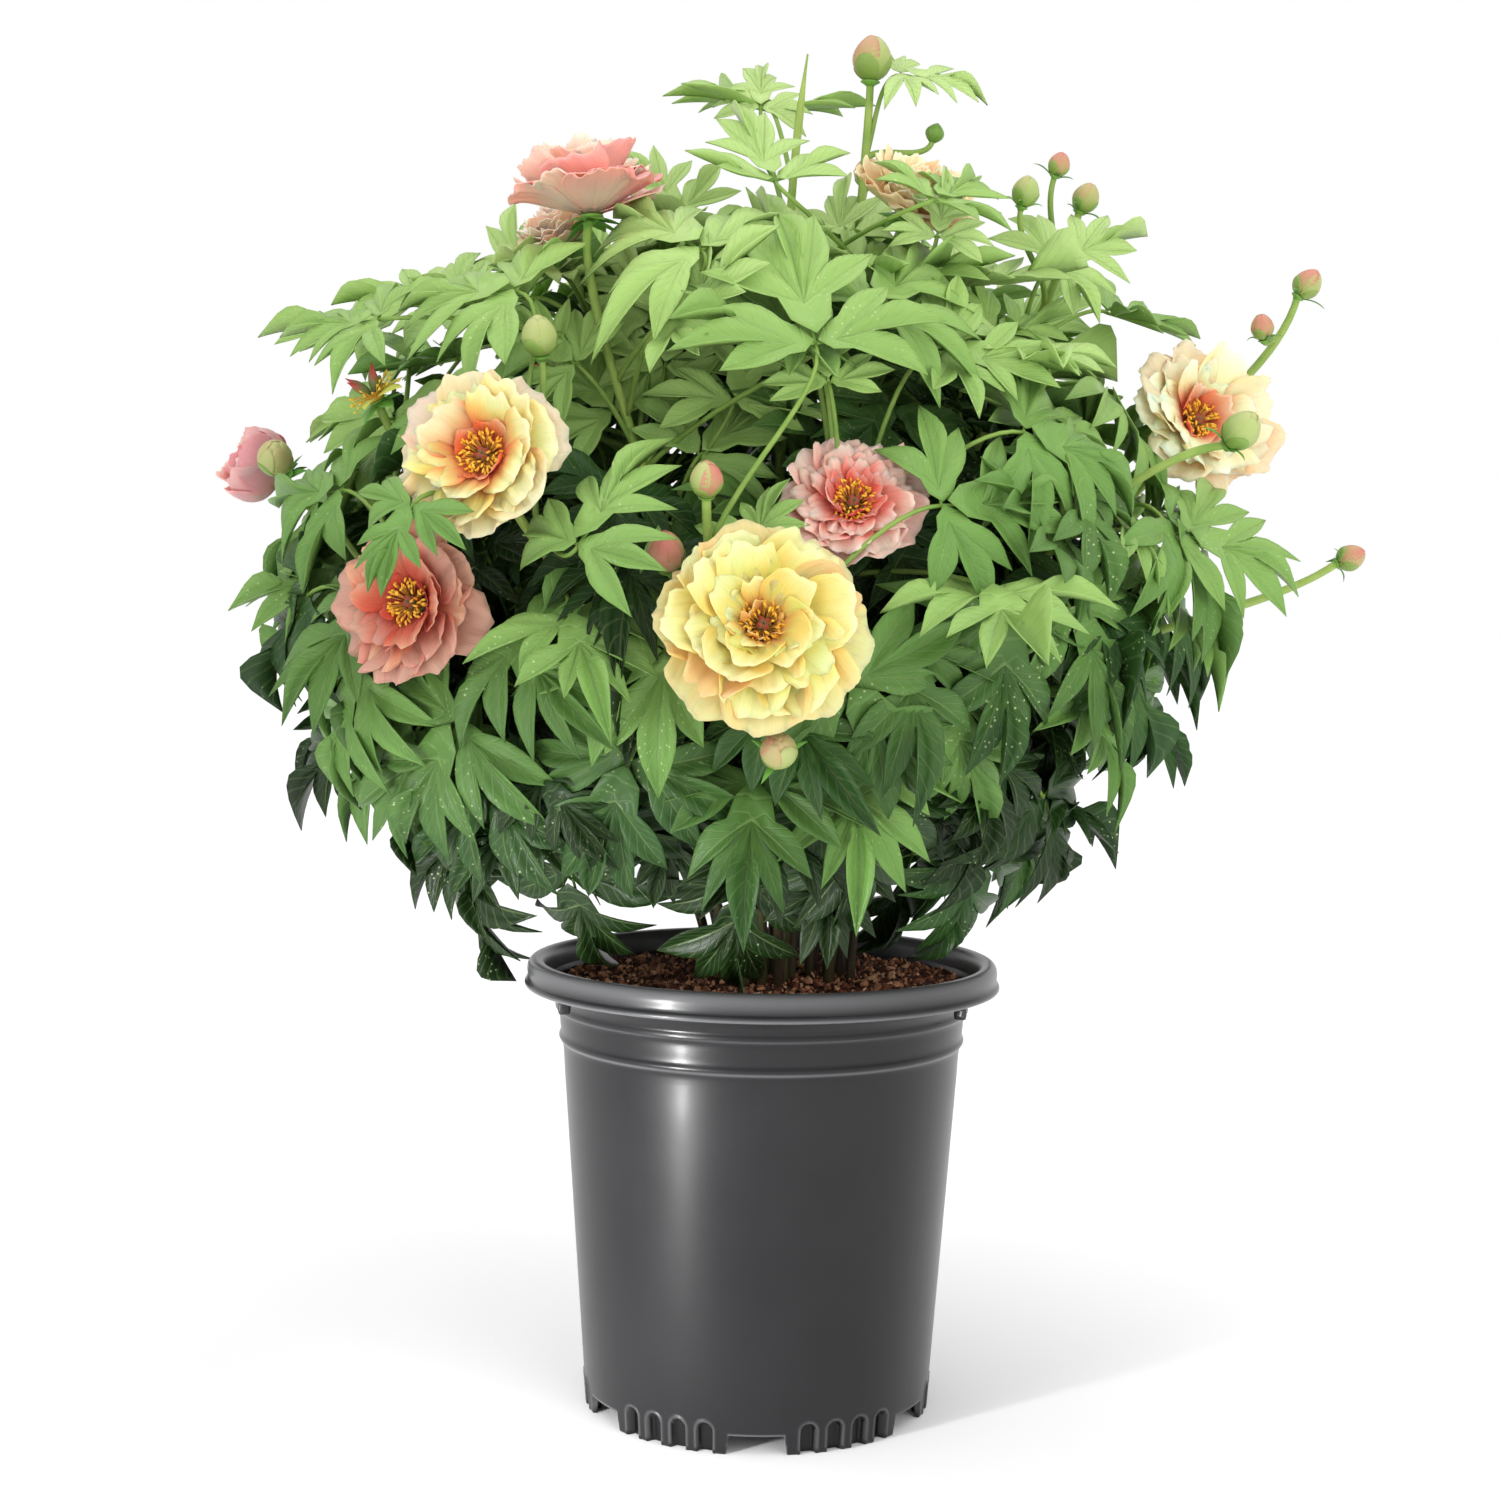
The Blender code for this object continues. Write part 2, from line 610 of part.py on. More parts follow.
def leaf_draw(number, turn, leaf, attempt):
    """A leaf's fork and directions at one of its seeded draws, which stray further each time."""
    fork, ahead, face, size = leaf_frame(leaf, turn)
    rng = np.random.default_rng((LEAF_SEED, number, turn, attempt))
    vary = {
        "arch": LEAF_ARCH * rng.uniform(0.5, 1.5),
        "turns": rng.uniform(-7, 7, 3),
        "reaches": rng.uniform(0.86, 1.10, (3, len(MIDDLE_RIM))),
    }
    stray = FIRST_STRAY + (LAST_STRAY - FIRST_STRAY) * attempt / LEAF_DRAWS
    side = np.cross(face, ahead)
    slip = rng.uniform(-1, 1, 3) * stray
    fork = fork + (slip[0] * ahead + slip[1] * side) * LEAF_SLIP + face * (slip[2] * LEAF_LIFT)
    lean, roll, spin = rng.normal(0.0, LEAF_TILT, 3) * stray
    ahead = unit(ahead + side * spin + face * lean)
    face = unit(face + side * roll - ahead * (face @ ahead))
    face = unit(face - ahead * (face @ ahead))
    return fork, ahead, face, size, vary


def slab(surface, thickness):
    """Closed test shape of a blade, thicker than the blade by the clearance on each side."""
    points, triangles = surface
    points = np.asarray(points)
    lift = np.zeros_like(points)
    edges = {}
    for a, b, c in triangles:
        normal = unit(np.cross(points[b] - points[a], points[c] - points[a]))
        for corner in (a, b, c):
            lift[corner] += normal
        for edge in ((a, b), (b, c), (c, a)):
            edges[edge] = edges.get(edge, 0) + 1
    lift *= (thickness / 2 + CLEARANCE) / np.linalg.norm(lift, axis=1)[:, None]
    count = len(points)
    faces = [tuple(t) for t in triangles] + [(a + count, c + count, b + count) for a, b, c in triangles]
    for a, b in edges:
        if (b, a) not in edges:
            faces += [(b, a, a + count), (b, a + count, b + count)]
    return np.vstack((points + lift, points - lift)), faces


def pipe(path, radii):
    """Test shape of a stalk: a square pipe, wider than the stalk by the clearance."""
    path = np.asarray(path)
    points, faces = [], []
    ways = np.gradient(path, axis=0)
    for place, way, radius in zip(path, ways, radii):
        across, up, _ = frame_of(way)
        reach = (radius + CLEARANCE) * 1.42
        for k in range(4):
            a = math.pi / 2 * k
            points.append(place + reach * (math.cos(a) * across + math.sin(a) * up))
    for row in range(len(path) - 1):
        for k in range(4):
            a, b = 4 * row + k, 4 * row + (k + 1) % 4
            faces += [(a, b, b + 4), (a, b + 4, a + 4)]
    last = 4 * (len(path) - 1)
    faces += [(0, 2, 1), (0, 3, 2), (last, last + 1, last + 2), (last, last + 2, last + 3)]
    return np.array(points), faces


class Room:
    """The space that is taken, kept for each node as test shapes of its stalks and blades."""

    def __init__(self):
        self.taken = {}

    @staticmethod
    def tree_of(shapes):
        points, faces, first = [], [], 0
        for shape_points, shape_faces in shapes:
            points += [tuple(p) for p in shape_points]
            faces += [tuple(i + first for i in face) for face in shape_faces]
            first += len(shape_points)
        return BVHTree.FromPolygons(points, faces)

    def add(self, node, kind, shapes):
        stored, _ = self.taken.get((node, kind), ([], None))
        stored = stored + list(shapes)
        self.taken[node, kind] = (stored, self.tree_of(stored))

    def blocked_by(self, shapes, skip):
        tree = self.tree_of(shapes)
        for key, (_, other) in self.taken.items():
            if key not in skip and tree.overlap(other):
                return key
        return None


def taken_by_object(made):
    """Test shape of a finished object."""
    graph = bpy.context.evaluated_depsgraph_get()
    mesh = made.evaluated_get(graph).to_mesh()
    mesh.calc_loop_triangles()
    points = np.array([v.co[:] for v in mesh.vertices])
    faces = [tuple(t.vertices) for t in mesh.loop_triangles]
    made.evaluated_get(graph).to_mesh_clear()
    return points, faces


def seat_of(centre, facing, back):
    return np.array(centre) * MM - unit(facing) * back


def tip_seats():
    """Where the stem ends for each bloom, bud and tip, and the way it points there."""
    seats = {}
    for name, (centre, facing, size, *_) in BLOOMS.items():
        seats[name] = (seat_of(centre, facing, BLOOM_BACK * size * MM), unit(facing))
    for table in (BUDS, GREEN_TIPS):
        for name, (centre, facing, size) in table.items():
            seats[name] = (seat_of(centre, facing, 0.5 * BUD_TALL * size * MM), unit(facing))
    centre, facing, _ = SPENT_BLOOM
    seats["spent_bloom"] = (seat_of(centre, facing, SPENT_BACK), unit(facing))
    seats["stub"] = (np.array(STUB[0]) * MM, unit(STUB[1]))
    return seats


def root_places(seats):
    """A small copy of the tops' plan, so that the stems fan out uncrossed, spread a bit."""
    tops = np.array([seats[top][0][:2] for top, _, _ in STEMS.values()])
    roots = CROWN + (tops - BUSH_CENTRE[:2]) * CROWN_SHARE
    for _ in range(200):
        for i in range(len(roots)):
            for j in range(i):
                apart = roots[i] - roots[j]
                short = ROOT_SPACING - np.linalg.norm(apart)
                if short > 0:
                    push = unit(apart + 1e-9) * short * 0.5
                    roots[i] += push
                    roots[j] -= push
    return dict(zip(STEMS, roots))


def stem_path(root, seat, way, bends, sway, count):
    """Straight up out of the mix, then over to the top, and into it along its facing."""
    foot = np.array((*root, MIX_TOP - HOLE_DEPTH + 0.003))
    neck = np.array((*root, MIX_TOP + 0.012))
    if bends:
        first, second = (np.array(bend) * MM for bend in bends)
    else:
        reach = np.linalg.norm(seat - neck)
        first = neck + np.array((0.0, 0.0, 0.34 * reach)) + 0.12 * (seat - neck)
        second = seat - unit(way + np.array((0.0, 0.0, 0.7))) * 0.24 * reach
    return np.vstack((foot, bezier(neck, first + sway[0], second + sway[1], seat, count)))


def branch_path(path, place, seat, way, count):
    """A side branch leaves the stem upwards and ends along its own facing."""
    at = place * (len(path) - 1)
    low = int(at)
    start = path[low] + (path[low + 1] - path[low]) * (at - low)
    reach = np.linalg.norm(seat - start)
    along = unit(path[low + 1] - path[low])
    return bezier(start, start + along * 0.35 * reach, seat - way * 0.35 * reach, seat, count)


def tapered(count, radius, share):
    return radius * np.linspace(1.0, share, count)


def calyx_sizes(name):
    """Radius and height of the green cup under a bloom or bud."""
    if name in BLOOMS:
        return BLOOM_CALYX
    if name in BUDS:
        size = BUDS[name][2] * MM
        return BUD_CALYX[0] * size, BUD_CALYX[1] * size
    return SPENT_CALYX


def sepal_surface(seat, facing, bearing, radius, length):
    """A narrow sepal that leans out from under the flower."""
    across, up, axis = frame_of(facing)
    a = math.radians(bearing)
    out = across * math.cos(a) + up * math.sin(a)
    side = np.cross(axis, out)
    base = seat - axis * 0.0022 + out * radius * 0.2
    middle = base + out * 0.55 * length - axis * 0.05 * length
    tip = base + out * length - axis * 0.42 * length
    points = np.array((base, middle - side * 0.16 * length, tip, middle + side * 0.16 * length))
    return points, [(0, 1, 2), (0, 2, 3)]


def stem_pieces(name, seats, root, attempt):
    """Stalks with their radii, what they end in, and sepals of a stem at one of its draws."""
    top, bends, branches = STEMS[name]
    seat, way = seats[top]
    rng = np.random.default_rng((STEM_SEED, int(name[-2:]), attempt))
    sway = rng.uniform(-1, 1, (2, 3)) * STEM_SWAY * attempt
    path = stem_path(root, seat, way, bends, sway, STEM_POINTS)
    stalks = [(path, tapered(len(path), STEM_RADIUS, STEM_TOP_SHARE))]
    if top == "stub":
        stalks[0][1][-2:] = (0.0020, 0.0008)
    ends = [top]
    for tip, place in branches:
        tip_seat, tip_way = seats[tip]
        stalk = branch_path(path, place, tip_seat, tip_way, 4)
        stalks.append((stalk, tapered(4, BRANCH_RADIUS, 0.9)))
        ends.append(tip)
    sepals = []
    for (stalk, _), end in zip(stalks, ends):
        stalk[-1] -= seats[end][1] * STALK_SHORT
        if end not in SEPAL_LENGTHS:
            continue
        radius, _ = calyx_sizes(end)
        for k in range(3):
            bearing = 120 * k + 15 * len(sepals)
            sepals.append(sepal_surface(*seats[end], bearing, radius, SEPAL_LENGTHS[end]))
    return stalks, ends, sepals


def place_stem(name, seats, root, room):
    """The first seeded draw of a stem that is clear of all that is placed."""
    for attempt in range(STEM_DRAWS):
        stalks, ends, sepals = stem_pieces(name, seats, root, attempt)
        shapes, blocked = [], []
        for k, ((path, radii), end) in enumerate(zip(stalks, ends)):
            shape = pipe(path, radii) if k else pipe(path[1:], radii[1:])
            own = {(end, kind) for kind in ("petals", "bud", "head")}
            blocked.append(room.blocked_by([shape], own | {("mix", "mix")}))
            shapes.append(shape)
        blades = [slab(sepal, BLADE) for sepal in sepals]
        if blades:
            own = {(end, kind) for end in ends for kind in ("petals", "bud", "head")}
            blocked.append(room.blocked_by(blades, own))
        if not any(blocked):
            room.add(name, "stalks", shapes + blades)
            return stalks, ends, sepals
    raise ValueError("no room for " + name)


def petal_surface(seat, facing, bearing, ring, size, lift, ruffle):
    """Open surface of a petal: it leaves the axis steeply and opens outwards. One edge lies
    higher than the other, so that each petal of a ring passes over the next."""
    steep, flat, reach, width, start = PETAL_RINGS[ring]
    across, up, axis = frame_of(facing)
    a = math.radians(bearing)
    out = across * math.cos(a) + up * math.sin(a)
    side = np.cross(axis, out)
    radius = size * MM / 2
    length = reach * radius * 1.06 - start * MM * 0.6
    s = np.linspace(0.0, 1.0, 21)
    rise = np.radians(steep + (flat - steep) * s)
    r = start * MM * 0.55 + np.concatenate(([0.0], np.cumsum(np.cos(rise[1:])))) * length / 20
    h = lift + np.concatenate(([0.0], np.cumsum(np.sin(rise[1:])))) * length / 20
    points = [seat + out * r[0] + axis * h[0]]
    for row, half, t in ((12, 0.50, -1), (12, 0.50, 1), (20, 0.36, -1), (20, 0.0, 0), (20, 0.36, 1)):
        curl = (PINWHEEL + 0.02 * ruffle) * radius * t
        back = PETAL_NOTCH * radius if half == 0.0 else 0.0
        place = seat + out * (r[row] - back) + axis * (h[row] + curl)
        points.append(place + side * (t * half * width * radius))
    triangles = [(0, 2, 1), (1, 4, 3), (1, 2, 4), (2, 5, 4)]
    return np.array(points), triangles


def bloom_surfaces(name):
    """The petals of a bloom, ring by ring, each ring set between the petals of the last."""
    centre, facing, size, rings, _, _ = BLOOMS[name]
    rng = np.random.default_rng((LEAF_SEED, int(name[-2:])))
    seat = seat_of(centre, facing, BLOOM_BACK * size * MM)
    surfaces = []
    for ring, count in enumerate(rings):
        for k in range(count):
            bearing = 360 * (k + 0.5 * ring) / count + rng.uniform(-5, 5)
            lift = (1.6 + 1.1 * ring + 0.5 * (k % 2)) * MM
            surfaces.append(petal_surface(seat, facing, bearing, ring, size, lift, rng.uniform(-1, 1)))
    return seat, unit(facing), surfaces


def make_bloom(name, parts, room, petals, stamen_material):
    """Petals on their core, and the tuft of stamens that sits on the core."""
    seat, axis, surfaces = bloom_surfaces(name)
    work = fill_collection(name + "_work")
    base = seat + axis * GAP
    top = seat + axis * CORE_HEIGHT
    pieces = [cone_object(name, base, top, CORE_RADIUS, CORE_RADIUS + 0.0006, 8, work)]
    for k, surface in enumerate(surfaces):
        pieces.append(blade_object(f"{name}_petal_{k}", surface, PETAL, work))
    joined(name + "_petals", pieces, parts, petals[BLOOMS[name][5]])
    room.add(name, "petals", [slab(s, PETAL) for s in surfaces] + [pipe((base, top), (0.006, 0.006))])
    if BLOOMS[name][4]:
        foot = top + axis * GAP
        make_stamens(name + "_stamens", foot, axis, parts, work, stamen_material)
        room.add(name, "stamens", [pipe((foot, foot + axis * 0.014), (0.006, 0.010))])
    bpy.data.collections.remove(work)


def make_stamens(name, foot, axis, parts, work, material):
    """A low disc with two rings of stamens round the carpels."""
    across, up, _ = frame_of(axis)
    pieces = [cone_object(name, foot, foot + axis * 0.0030, 0.0046, 0.0040, 6, work)]
    for ring, (count, lean, tall) in enumerate(STAMEN_RINGS):
        for k in range(count):
            a = 2 * math.pi * (k + 0.4 * ring) / count
            out = across * math.cos(a) + up * math.sin(a)
            start = foot + axis * 0.0012 + out * (0.0030 - 0.0012 * ring)
            end = start + unit(axis + out * lean) * tall
            pieces.append(cone_object(f"{name}_{ring}_{k}", start, end, 0.0006, 0.0012, 3, work))
    joined(name, pieces, parts, material)


def make_bud(name, parts, room, material):
    """A bud: round, drawn to a blunt point, with the edges of its wrapped petals raised."""
    centre, facing, size = BUDS[name]
    seat, axis = seat_of(centre, facing, 0.5 * BUD_TALL * size * MM), unit(facing)
    radius = size * MM / 2
    middle = seat + axis * (radius * BUD_TALL + GAP)
    turn = Vector(axis).to_track_quat("Z", "Y").to_matrix().to_4x4()
    work = fill_collection(name + "_work")

    def make(shape):
        bmesh.ops.create_uvsphere(shape, u_segments=6, v_segments=5, radius=1.0)
        for vertex in shape.verts:
            x, y, z = vertex.co
            fold = 1.0 + 0.05 * math.cos(4 * math.atan2(y, x) + 2.5 * z)
            waist = fold * (1.0 - 0.16 * max(0.0, z))
            vertex.co = (x * waist * radius, y * waist * radius, z * radius * BUD_TALL)

    matrix = Matrix.Translation(middle) @ turn
    joined(name, [primitive_object(name, make, matrix, work)], parts, material, smooth=True)
    bpy.data.collections.remove(work)
    room.add(name, "bud", [pipe((seat, seat + axis * 2 * radius * BUD_TALL), (radius, radius))])


def make_spent_bloom(parts, room, material):
    """What is left of a bloom: pointed carpels and a few stamens on a small disc."""
    centre, facing, size = SPENT_BLOOM
    seat, axis = seat_of(centre, facing, SPENT_BACK), unit(facing)
    across, up, _ = frame_of(facing)
    foot = seat + axis * GAP
    work = fill_collection("spent_work")
    pieces = [cone_object("spent_bloom", foot, foot + axis * 0.005, 0.0050, 0.0040, 8, work)]
    for k in range(4):
        a = math.pi / 2 * k + 0.4
        out = across * math.cos(a) + up * math.sin(a)
        start = foot + axis * 0.003 + out * 0.0022
        end = start + unit(axis + out * 0.45) * size * 0.5 * MM
        pieces.append(cone_object(f"carpel_{k}", start, end, 0.0024, 0.0007, 5, work))
    for k in range(6):
        a = 2 * math.pi * k / 6
        out = across * math.cos(a) + up * math.sin(a)
        start = foot + axis * 0.0015 + out * 0.0036
        end = start + unit(axis * 0.35 + out) * size * 0.4 * MM
        pieces.append(cone_object(f"old_stamen_{k}", start, end, 0.0006, 0.0010, 4, work))
    joined("spent_bloom", pieces, parts, material)
    bpy.data.collections.remove(work)
    room.add("spent_bloom", "head", [pipe((foot, foot + axis * 0.018), (0.014, 0.016))])


def nearest_on(path, target):
    """The point of a path that is nearest to the target, kept off the path's two ends."""
    best = None
    for k in range(2, len(path) - 1):
        for share in (0.0, 0.35, 0.7):
            place = path[k] + (path[min(k + 1, len(path) - 1)] - path[k]) * share
            distance = np.linalg.norm(place - target)
            if best is None or distance < best[0]:
                best = (distance, place)
    return best


def place_leaf(number, turn, leaf, paths, room):
    """The first seeded draw of a leaf that is clear of all the other nodes."""
    for attempt in range(LEAF_DRAWS):
        fork, ahead, face, size, vary = leaf_draw(number, turn, leaf, attempt)
        below = fork - ahead * STALK_BACK - np.array((0.0, 0.0, STALK_DROP))
        order = sorted(paths, key=lambda stem: nearest_on(paths[stem], below)[0])
        stem = order[attempt % 4]
        start = nearest_on(paths[stem], below)[1]
        surface = leaf_surface(fork, ahead, face, size, vary, start)
        shapes = [slab(surface, BLADE)]
        if room.blocked_by(shapes, {(stem, "stalks")}) is None:
            room.add(stem, "leaves", shapes)
            return stem, surface
    raise ValueError(f"no room for leaf {number} at {turn} degrees")


def make_stem(name, stalks, ends, seats, sepals, leaves, parts, material):
    """One leafy stem: stalks, calyxes, sepals and leaves in one solid."""
    work = fill_collection(name + "_work")
    pieces = [tube_object(name, *stalk, work) for stalk in stalks]
    for k, end in enumerate(ends):
        seat, way = seats[end]
        if end in GREEN_TIPS:
            size = GREEN_TIPS[end][2] * MM
            half = seat + way * size * 0.5
            low, high = seat - way * 0.001, half + way * 0.001
            pieces.append(cone_object(f"tip_{k}", low, high, 0.002, size * 0.5, 6, work))
            pieces.append(cone_object(f"top_{k}", half, seat + way * size, size * 0.46, 0.001, 6, work))
        elif end != "stub":
            radius, height = calyx_sizes(end)
            low = seat - way * height
            pieces.append(cone_object(f"calyx_{k}", low, seat, BRANCH_RADIUS, radius, 6, work))
    for k, sepal in enumerate(sepals):
        pieces.append(blade_object(f"sepal_{k}", sepal, BLADE, work))
    for k, surface in enumerate(leaves):
        pieces.append(blade_object(f"leaf_{k}", surface, BLADE, work))
    joined(name, pieces, parts, material)
    bpy.data.collections.remove(work)


def main():
    for old in list(bpy.data.objects):
        bpy.data.objects.remove(old)
    parts = fill_collection("potted_peony")
    black = make_material("moulded_black_plastic", (0.030, 0.030, 0.033), 0.42)
    bark = make_material("composted_bark", (0.060, 0.026, 0.016), 0.95)
    green = make_material("peony_leaf", (0.085, 0.235, 0.050), 0.55)
    petals = {
        colour: make_material(f"{colour}_petal", shade, 0.60) for colour, shade in PETAL_COLOURS.items()
    }
    gold = make_material("peony_stamens", (0.780, 0.420, 0.060), 0.60)
    bud_green = make_material("peony_bud", (0.430, 0.480, 0.230), 0.55)

    room = Room()
    seats = tip_seats()
    roots = root_places(seats)
    pot = make_pot(parts, black)
    mix = make_mix(parts, bark)
    bpy.context.view_layer.update()
    room.add("pot", "pot", [taken_by_object(pot)])
    room.add("mix", "mix", [taken_by_object(mix)])
    for name in BLOOMS:
        make_bloom(name, parts, room, petals, gold)
    for name in BUDS:
        make_bud(name, parts, room, bud_green)
    make_spent_bloom(parts, room, gold)

    paths, stems = {}, {}
    for name in STEMS:
        stalks, ends, sepals = place_stem(name, seats, roots[name], room)
        paths[name] = stalks[0][0]
        stems[name] = (stalks, ends, sepals, [])
    for number, leaf in enumerate(LEAVES):
        for turn in leaf[4]:
            stem, surface = place_leaf(number, turn, leaf, paths, room)
            stems[stem][3].append(surface)
    for name, (stalks, ends, sepals, leaves) in stems.items():
        make_stem(name, stalks, ends, seats, sepals, leaves, parts, green)
    cut_foot(pot)
    cut_root_holes(mix, roots.values())


main()
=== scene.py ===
"""Looks of a peony bush in bloom in its black nursery pot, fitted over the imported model.

Each new piece is a surface worked out as whole arrays. Leaves, petals and stems stand in the
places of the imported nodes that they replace. Lengths are metres where nothing else is said.
"""

import math

import bpy
import numpy as np
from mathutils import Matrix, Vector


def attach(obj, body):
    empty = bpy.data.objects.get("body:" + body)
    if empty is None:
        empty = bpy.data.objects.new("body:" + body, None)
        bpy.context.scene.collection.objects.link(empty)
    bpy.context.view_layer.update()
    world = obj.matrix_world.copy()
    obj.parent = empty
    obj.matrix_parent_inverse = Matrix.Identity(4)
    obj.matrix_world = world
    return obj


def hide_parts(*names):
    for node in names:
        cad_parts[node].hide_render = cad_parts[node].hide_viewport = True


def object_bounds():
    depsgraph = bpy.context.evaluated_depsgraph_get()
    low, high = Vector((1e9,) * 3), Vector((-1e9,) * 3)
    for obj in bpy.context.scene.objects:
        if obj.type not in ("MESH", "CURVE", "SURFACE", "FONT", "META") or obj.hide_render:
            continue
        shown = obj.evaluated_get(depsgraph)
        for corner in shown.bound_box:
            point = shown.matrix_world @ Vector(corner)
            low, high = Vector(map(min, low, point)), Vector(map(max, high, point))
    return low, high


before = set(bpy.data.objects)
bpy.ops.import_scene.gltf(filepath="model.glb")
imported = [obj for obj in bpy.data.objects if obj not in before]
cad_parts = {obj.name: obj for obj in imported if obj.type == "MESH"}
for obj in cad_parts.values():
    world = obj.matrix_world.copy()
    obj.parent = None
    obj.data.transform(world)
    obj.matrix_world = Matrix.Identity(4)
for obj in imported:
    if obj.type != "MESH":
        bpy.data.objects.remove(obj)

bl_info = {
    "name": "Potted peony",
    "version": (1, 0, 0),
    "blender": (4, 5, 0),
    "location": "3D View > Sidebar > Peony",
    "description": "Fine leaves, petals, stems, soil and pot for a packed potted peony",
    "category": "Add Mesh",
}

MM = 0.001
CAD_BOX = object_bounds()

# Pot and mix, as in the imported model.
POT_HEIGHT, RIM_RADIUS, COLLAR_RADIUS = 0.2645, 0.140, 0.1208
BODY_RADIUS, FOOT_RADIUS, WALL, LIP_BOTTOM = 0.1172, 0.1016, 0.002, 0.249
FLOOR_BOTTOM, PAD_RADIUS, MIX_TOP = 0.0125, 0.030, 0.2500
NOTCH_WIDTH, NOTCH_HEIGHT, GROUPS = 0.033, 0.0110, 6
# Recesses of a group in degrees from its middle, and their arched top: height of its centre,
# radius, soft edge, and radius, width and height of its brim.
RECESSES = (-13.5, -4.5, 4.5, 13.5)
ARCH_HEIGHT, ARCH_RADIUS, ARCH_EDGE = 0.0128, 0.0047, 0.0012
BRIM_RADIUS, BRIM_WIDTH, BRIM_HEIGHT = 0.0053, 0.0007, 0.0006
POT_COLUMNS = 116 * GROUPS
# Where pale highlights are painted on the lip and the ridges: height, spread and strength.
PAINTED_HIGHLIGHTS = ((0.2166, 0.0008, 0.32), (0.2352, 0.0007, 0.22), (0.2492, 0.0014, 0.45), (0.2620, 0.0060, 0.34))
# Depth of the holes that the stems stand in, and height of the step inside the foot.
HOLE_DEPTH, STEP_TOP = 0.030, 0.0200

# Bush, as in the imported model: the round that the leaves lie on, where the stems leave the
# mix, and their taper and sway.
BUSH_CENTRE = np.array((-0.020, 0.0, 0.505))
BUSH_RADII = np.array((0.255, 0.250, 0.235))
LEAF_DEPTH_SHARE = 0.88
CROWN, CROWN_SHARE, ROOT_SPACING = np.array((0.004, 0.0)), 0.13, 0.0105
STEM_TOP_SHARE, STEM_SEED, STEM_SWAY = 0.72, 7, 0.0015
BRANCH_RADIUS, BRANCH_TOP_RADIUS = 0.0019, 0.0016
STEM_POINTS, BRANCH_POINTS = 44, 24
# Leaves: the seed, the most draws, and how far a draw strays from the table at first and last.
LEAF_SEED, LEAF_DRAWS = 41, 240
FIRST_STRAY, LAST_STRAY = 0.3, 2.0
LEAF_SLIP, LEAF_LIFT, LEAF_TILT, LEAF_ARCH = 0.012, 0.018, 0.16, 0.15
# How far behind and below its fork a leaf's stalk comes from.
STALK_BACK, STALK_DROP = 0.030, 0.045
# Bearing and reach of the three hands' hubs, and count and range of a rim's seeded reaches.
HAND_TURNS, HAND_HUBS = (-84, 0, 84), (0.15, 0.36, 0.15)
RIM_POINTS, RIM_REACH = 13, (0.86, 1.10)
# Rows of a lobe below and above its cuts, its columns, and where on the bush leaves rise.
LOW_ROWS, HIGH_ROWS, COLUMNS = 2, 6, np.array((-1.0, -0.5, 0.0, 0.5, 1.0))
PERK_FROM, PERK_TO, PERK_TOP = 0.47, 0.66, 0.72

# Lobes of a side hand and of the middle hand, each by the bearing and reach of its tip, and
# of the cut or the shoulder on its two sides. A reach is a share of the leaf's length.
SIDE_LOBES = (
    (-32, 0.72, (-66, 0.18), (-16, 0.26)),
    (0, 0.88, (-16, 0.26), (16, 0.26)),
    (32, 0.72, (16, 0.26), (66, 0.18)),
)
MIDDLE_LOBES = (
    (-56, 0.74, (-84, 0.20), (-35, 0.13)),
    (-21, 0.82, (-35, 0.13), (-10, 0.33)),
    (0, 1.0, (-10, 0.33), (10, 0.33)),
    (21, 0.82, (10, 0.33), (35, 0.13)),
    (56, 0.74, (35, 0.13), (84, 0.20)),
)
# Which of the rim's seeded reaches each lobe's tip takes.
SIDE_TIPS, MIDDLE_TIPS = (0, 2, 4), (1, 4, 6, 8, 11)

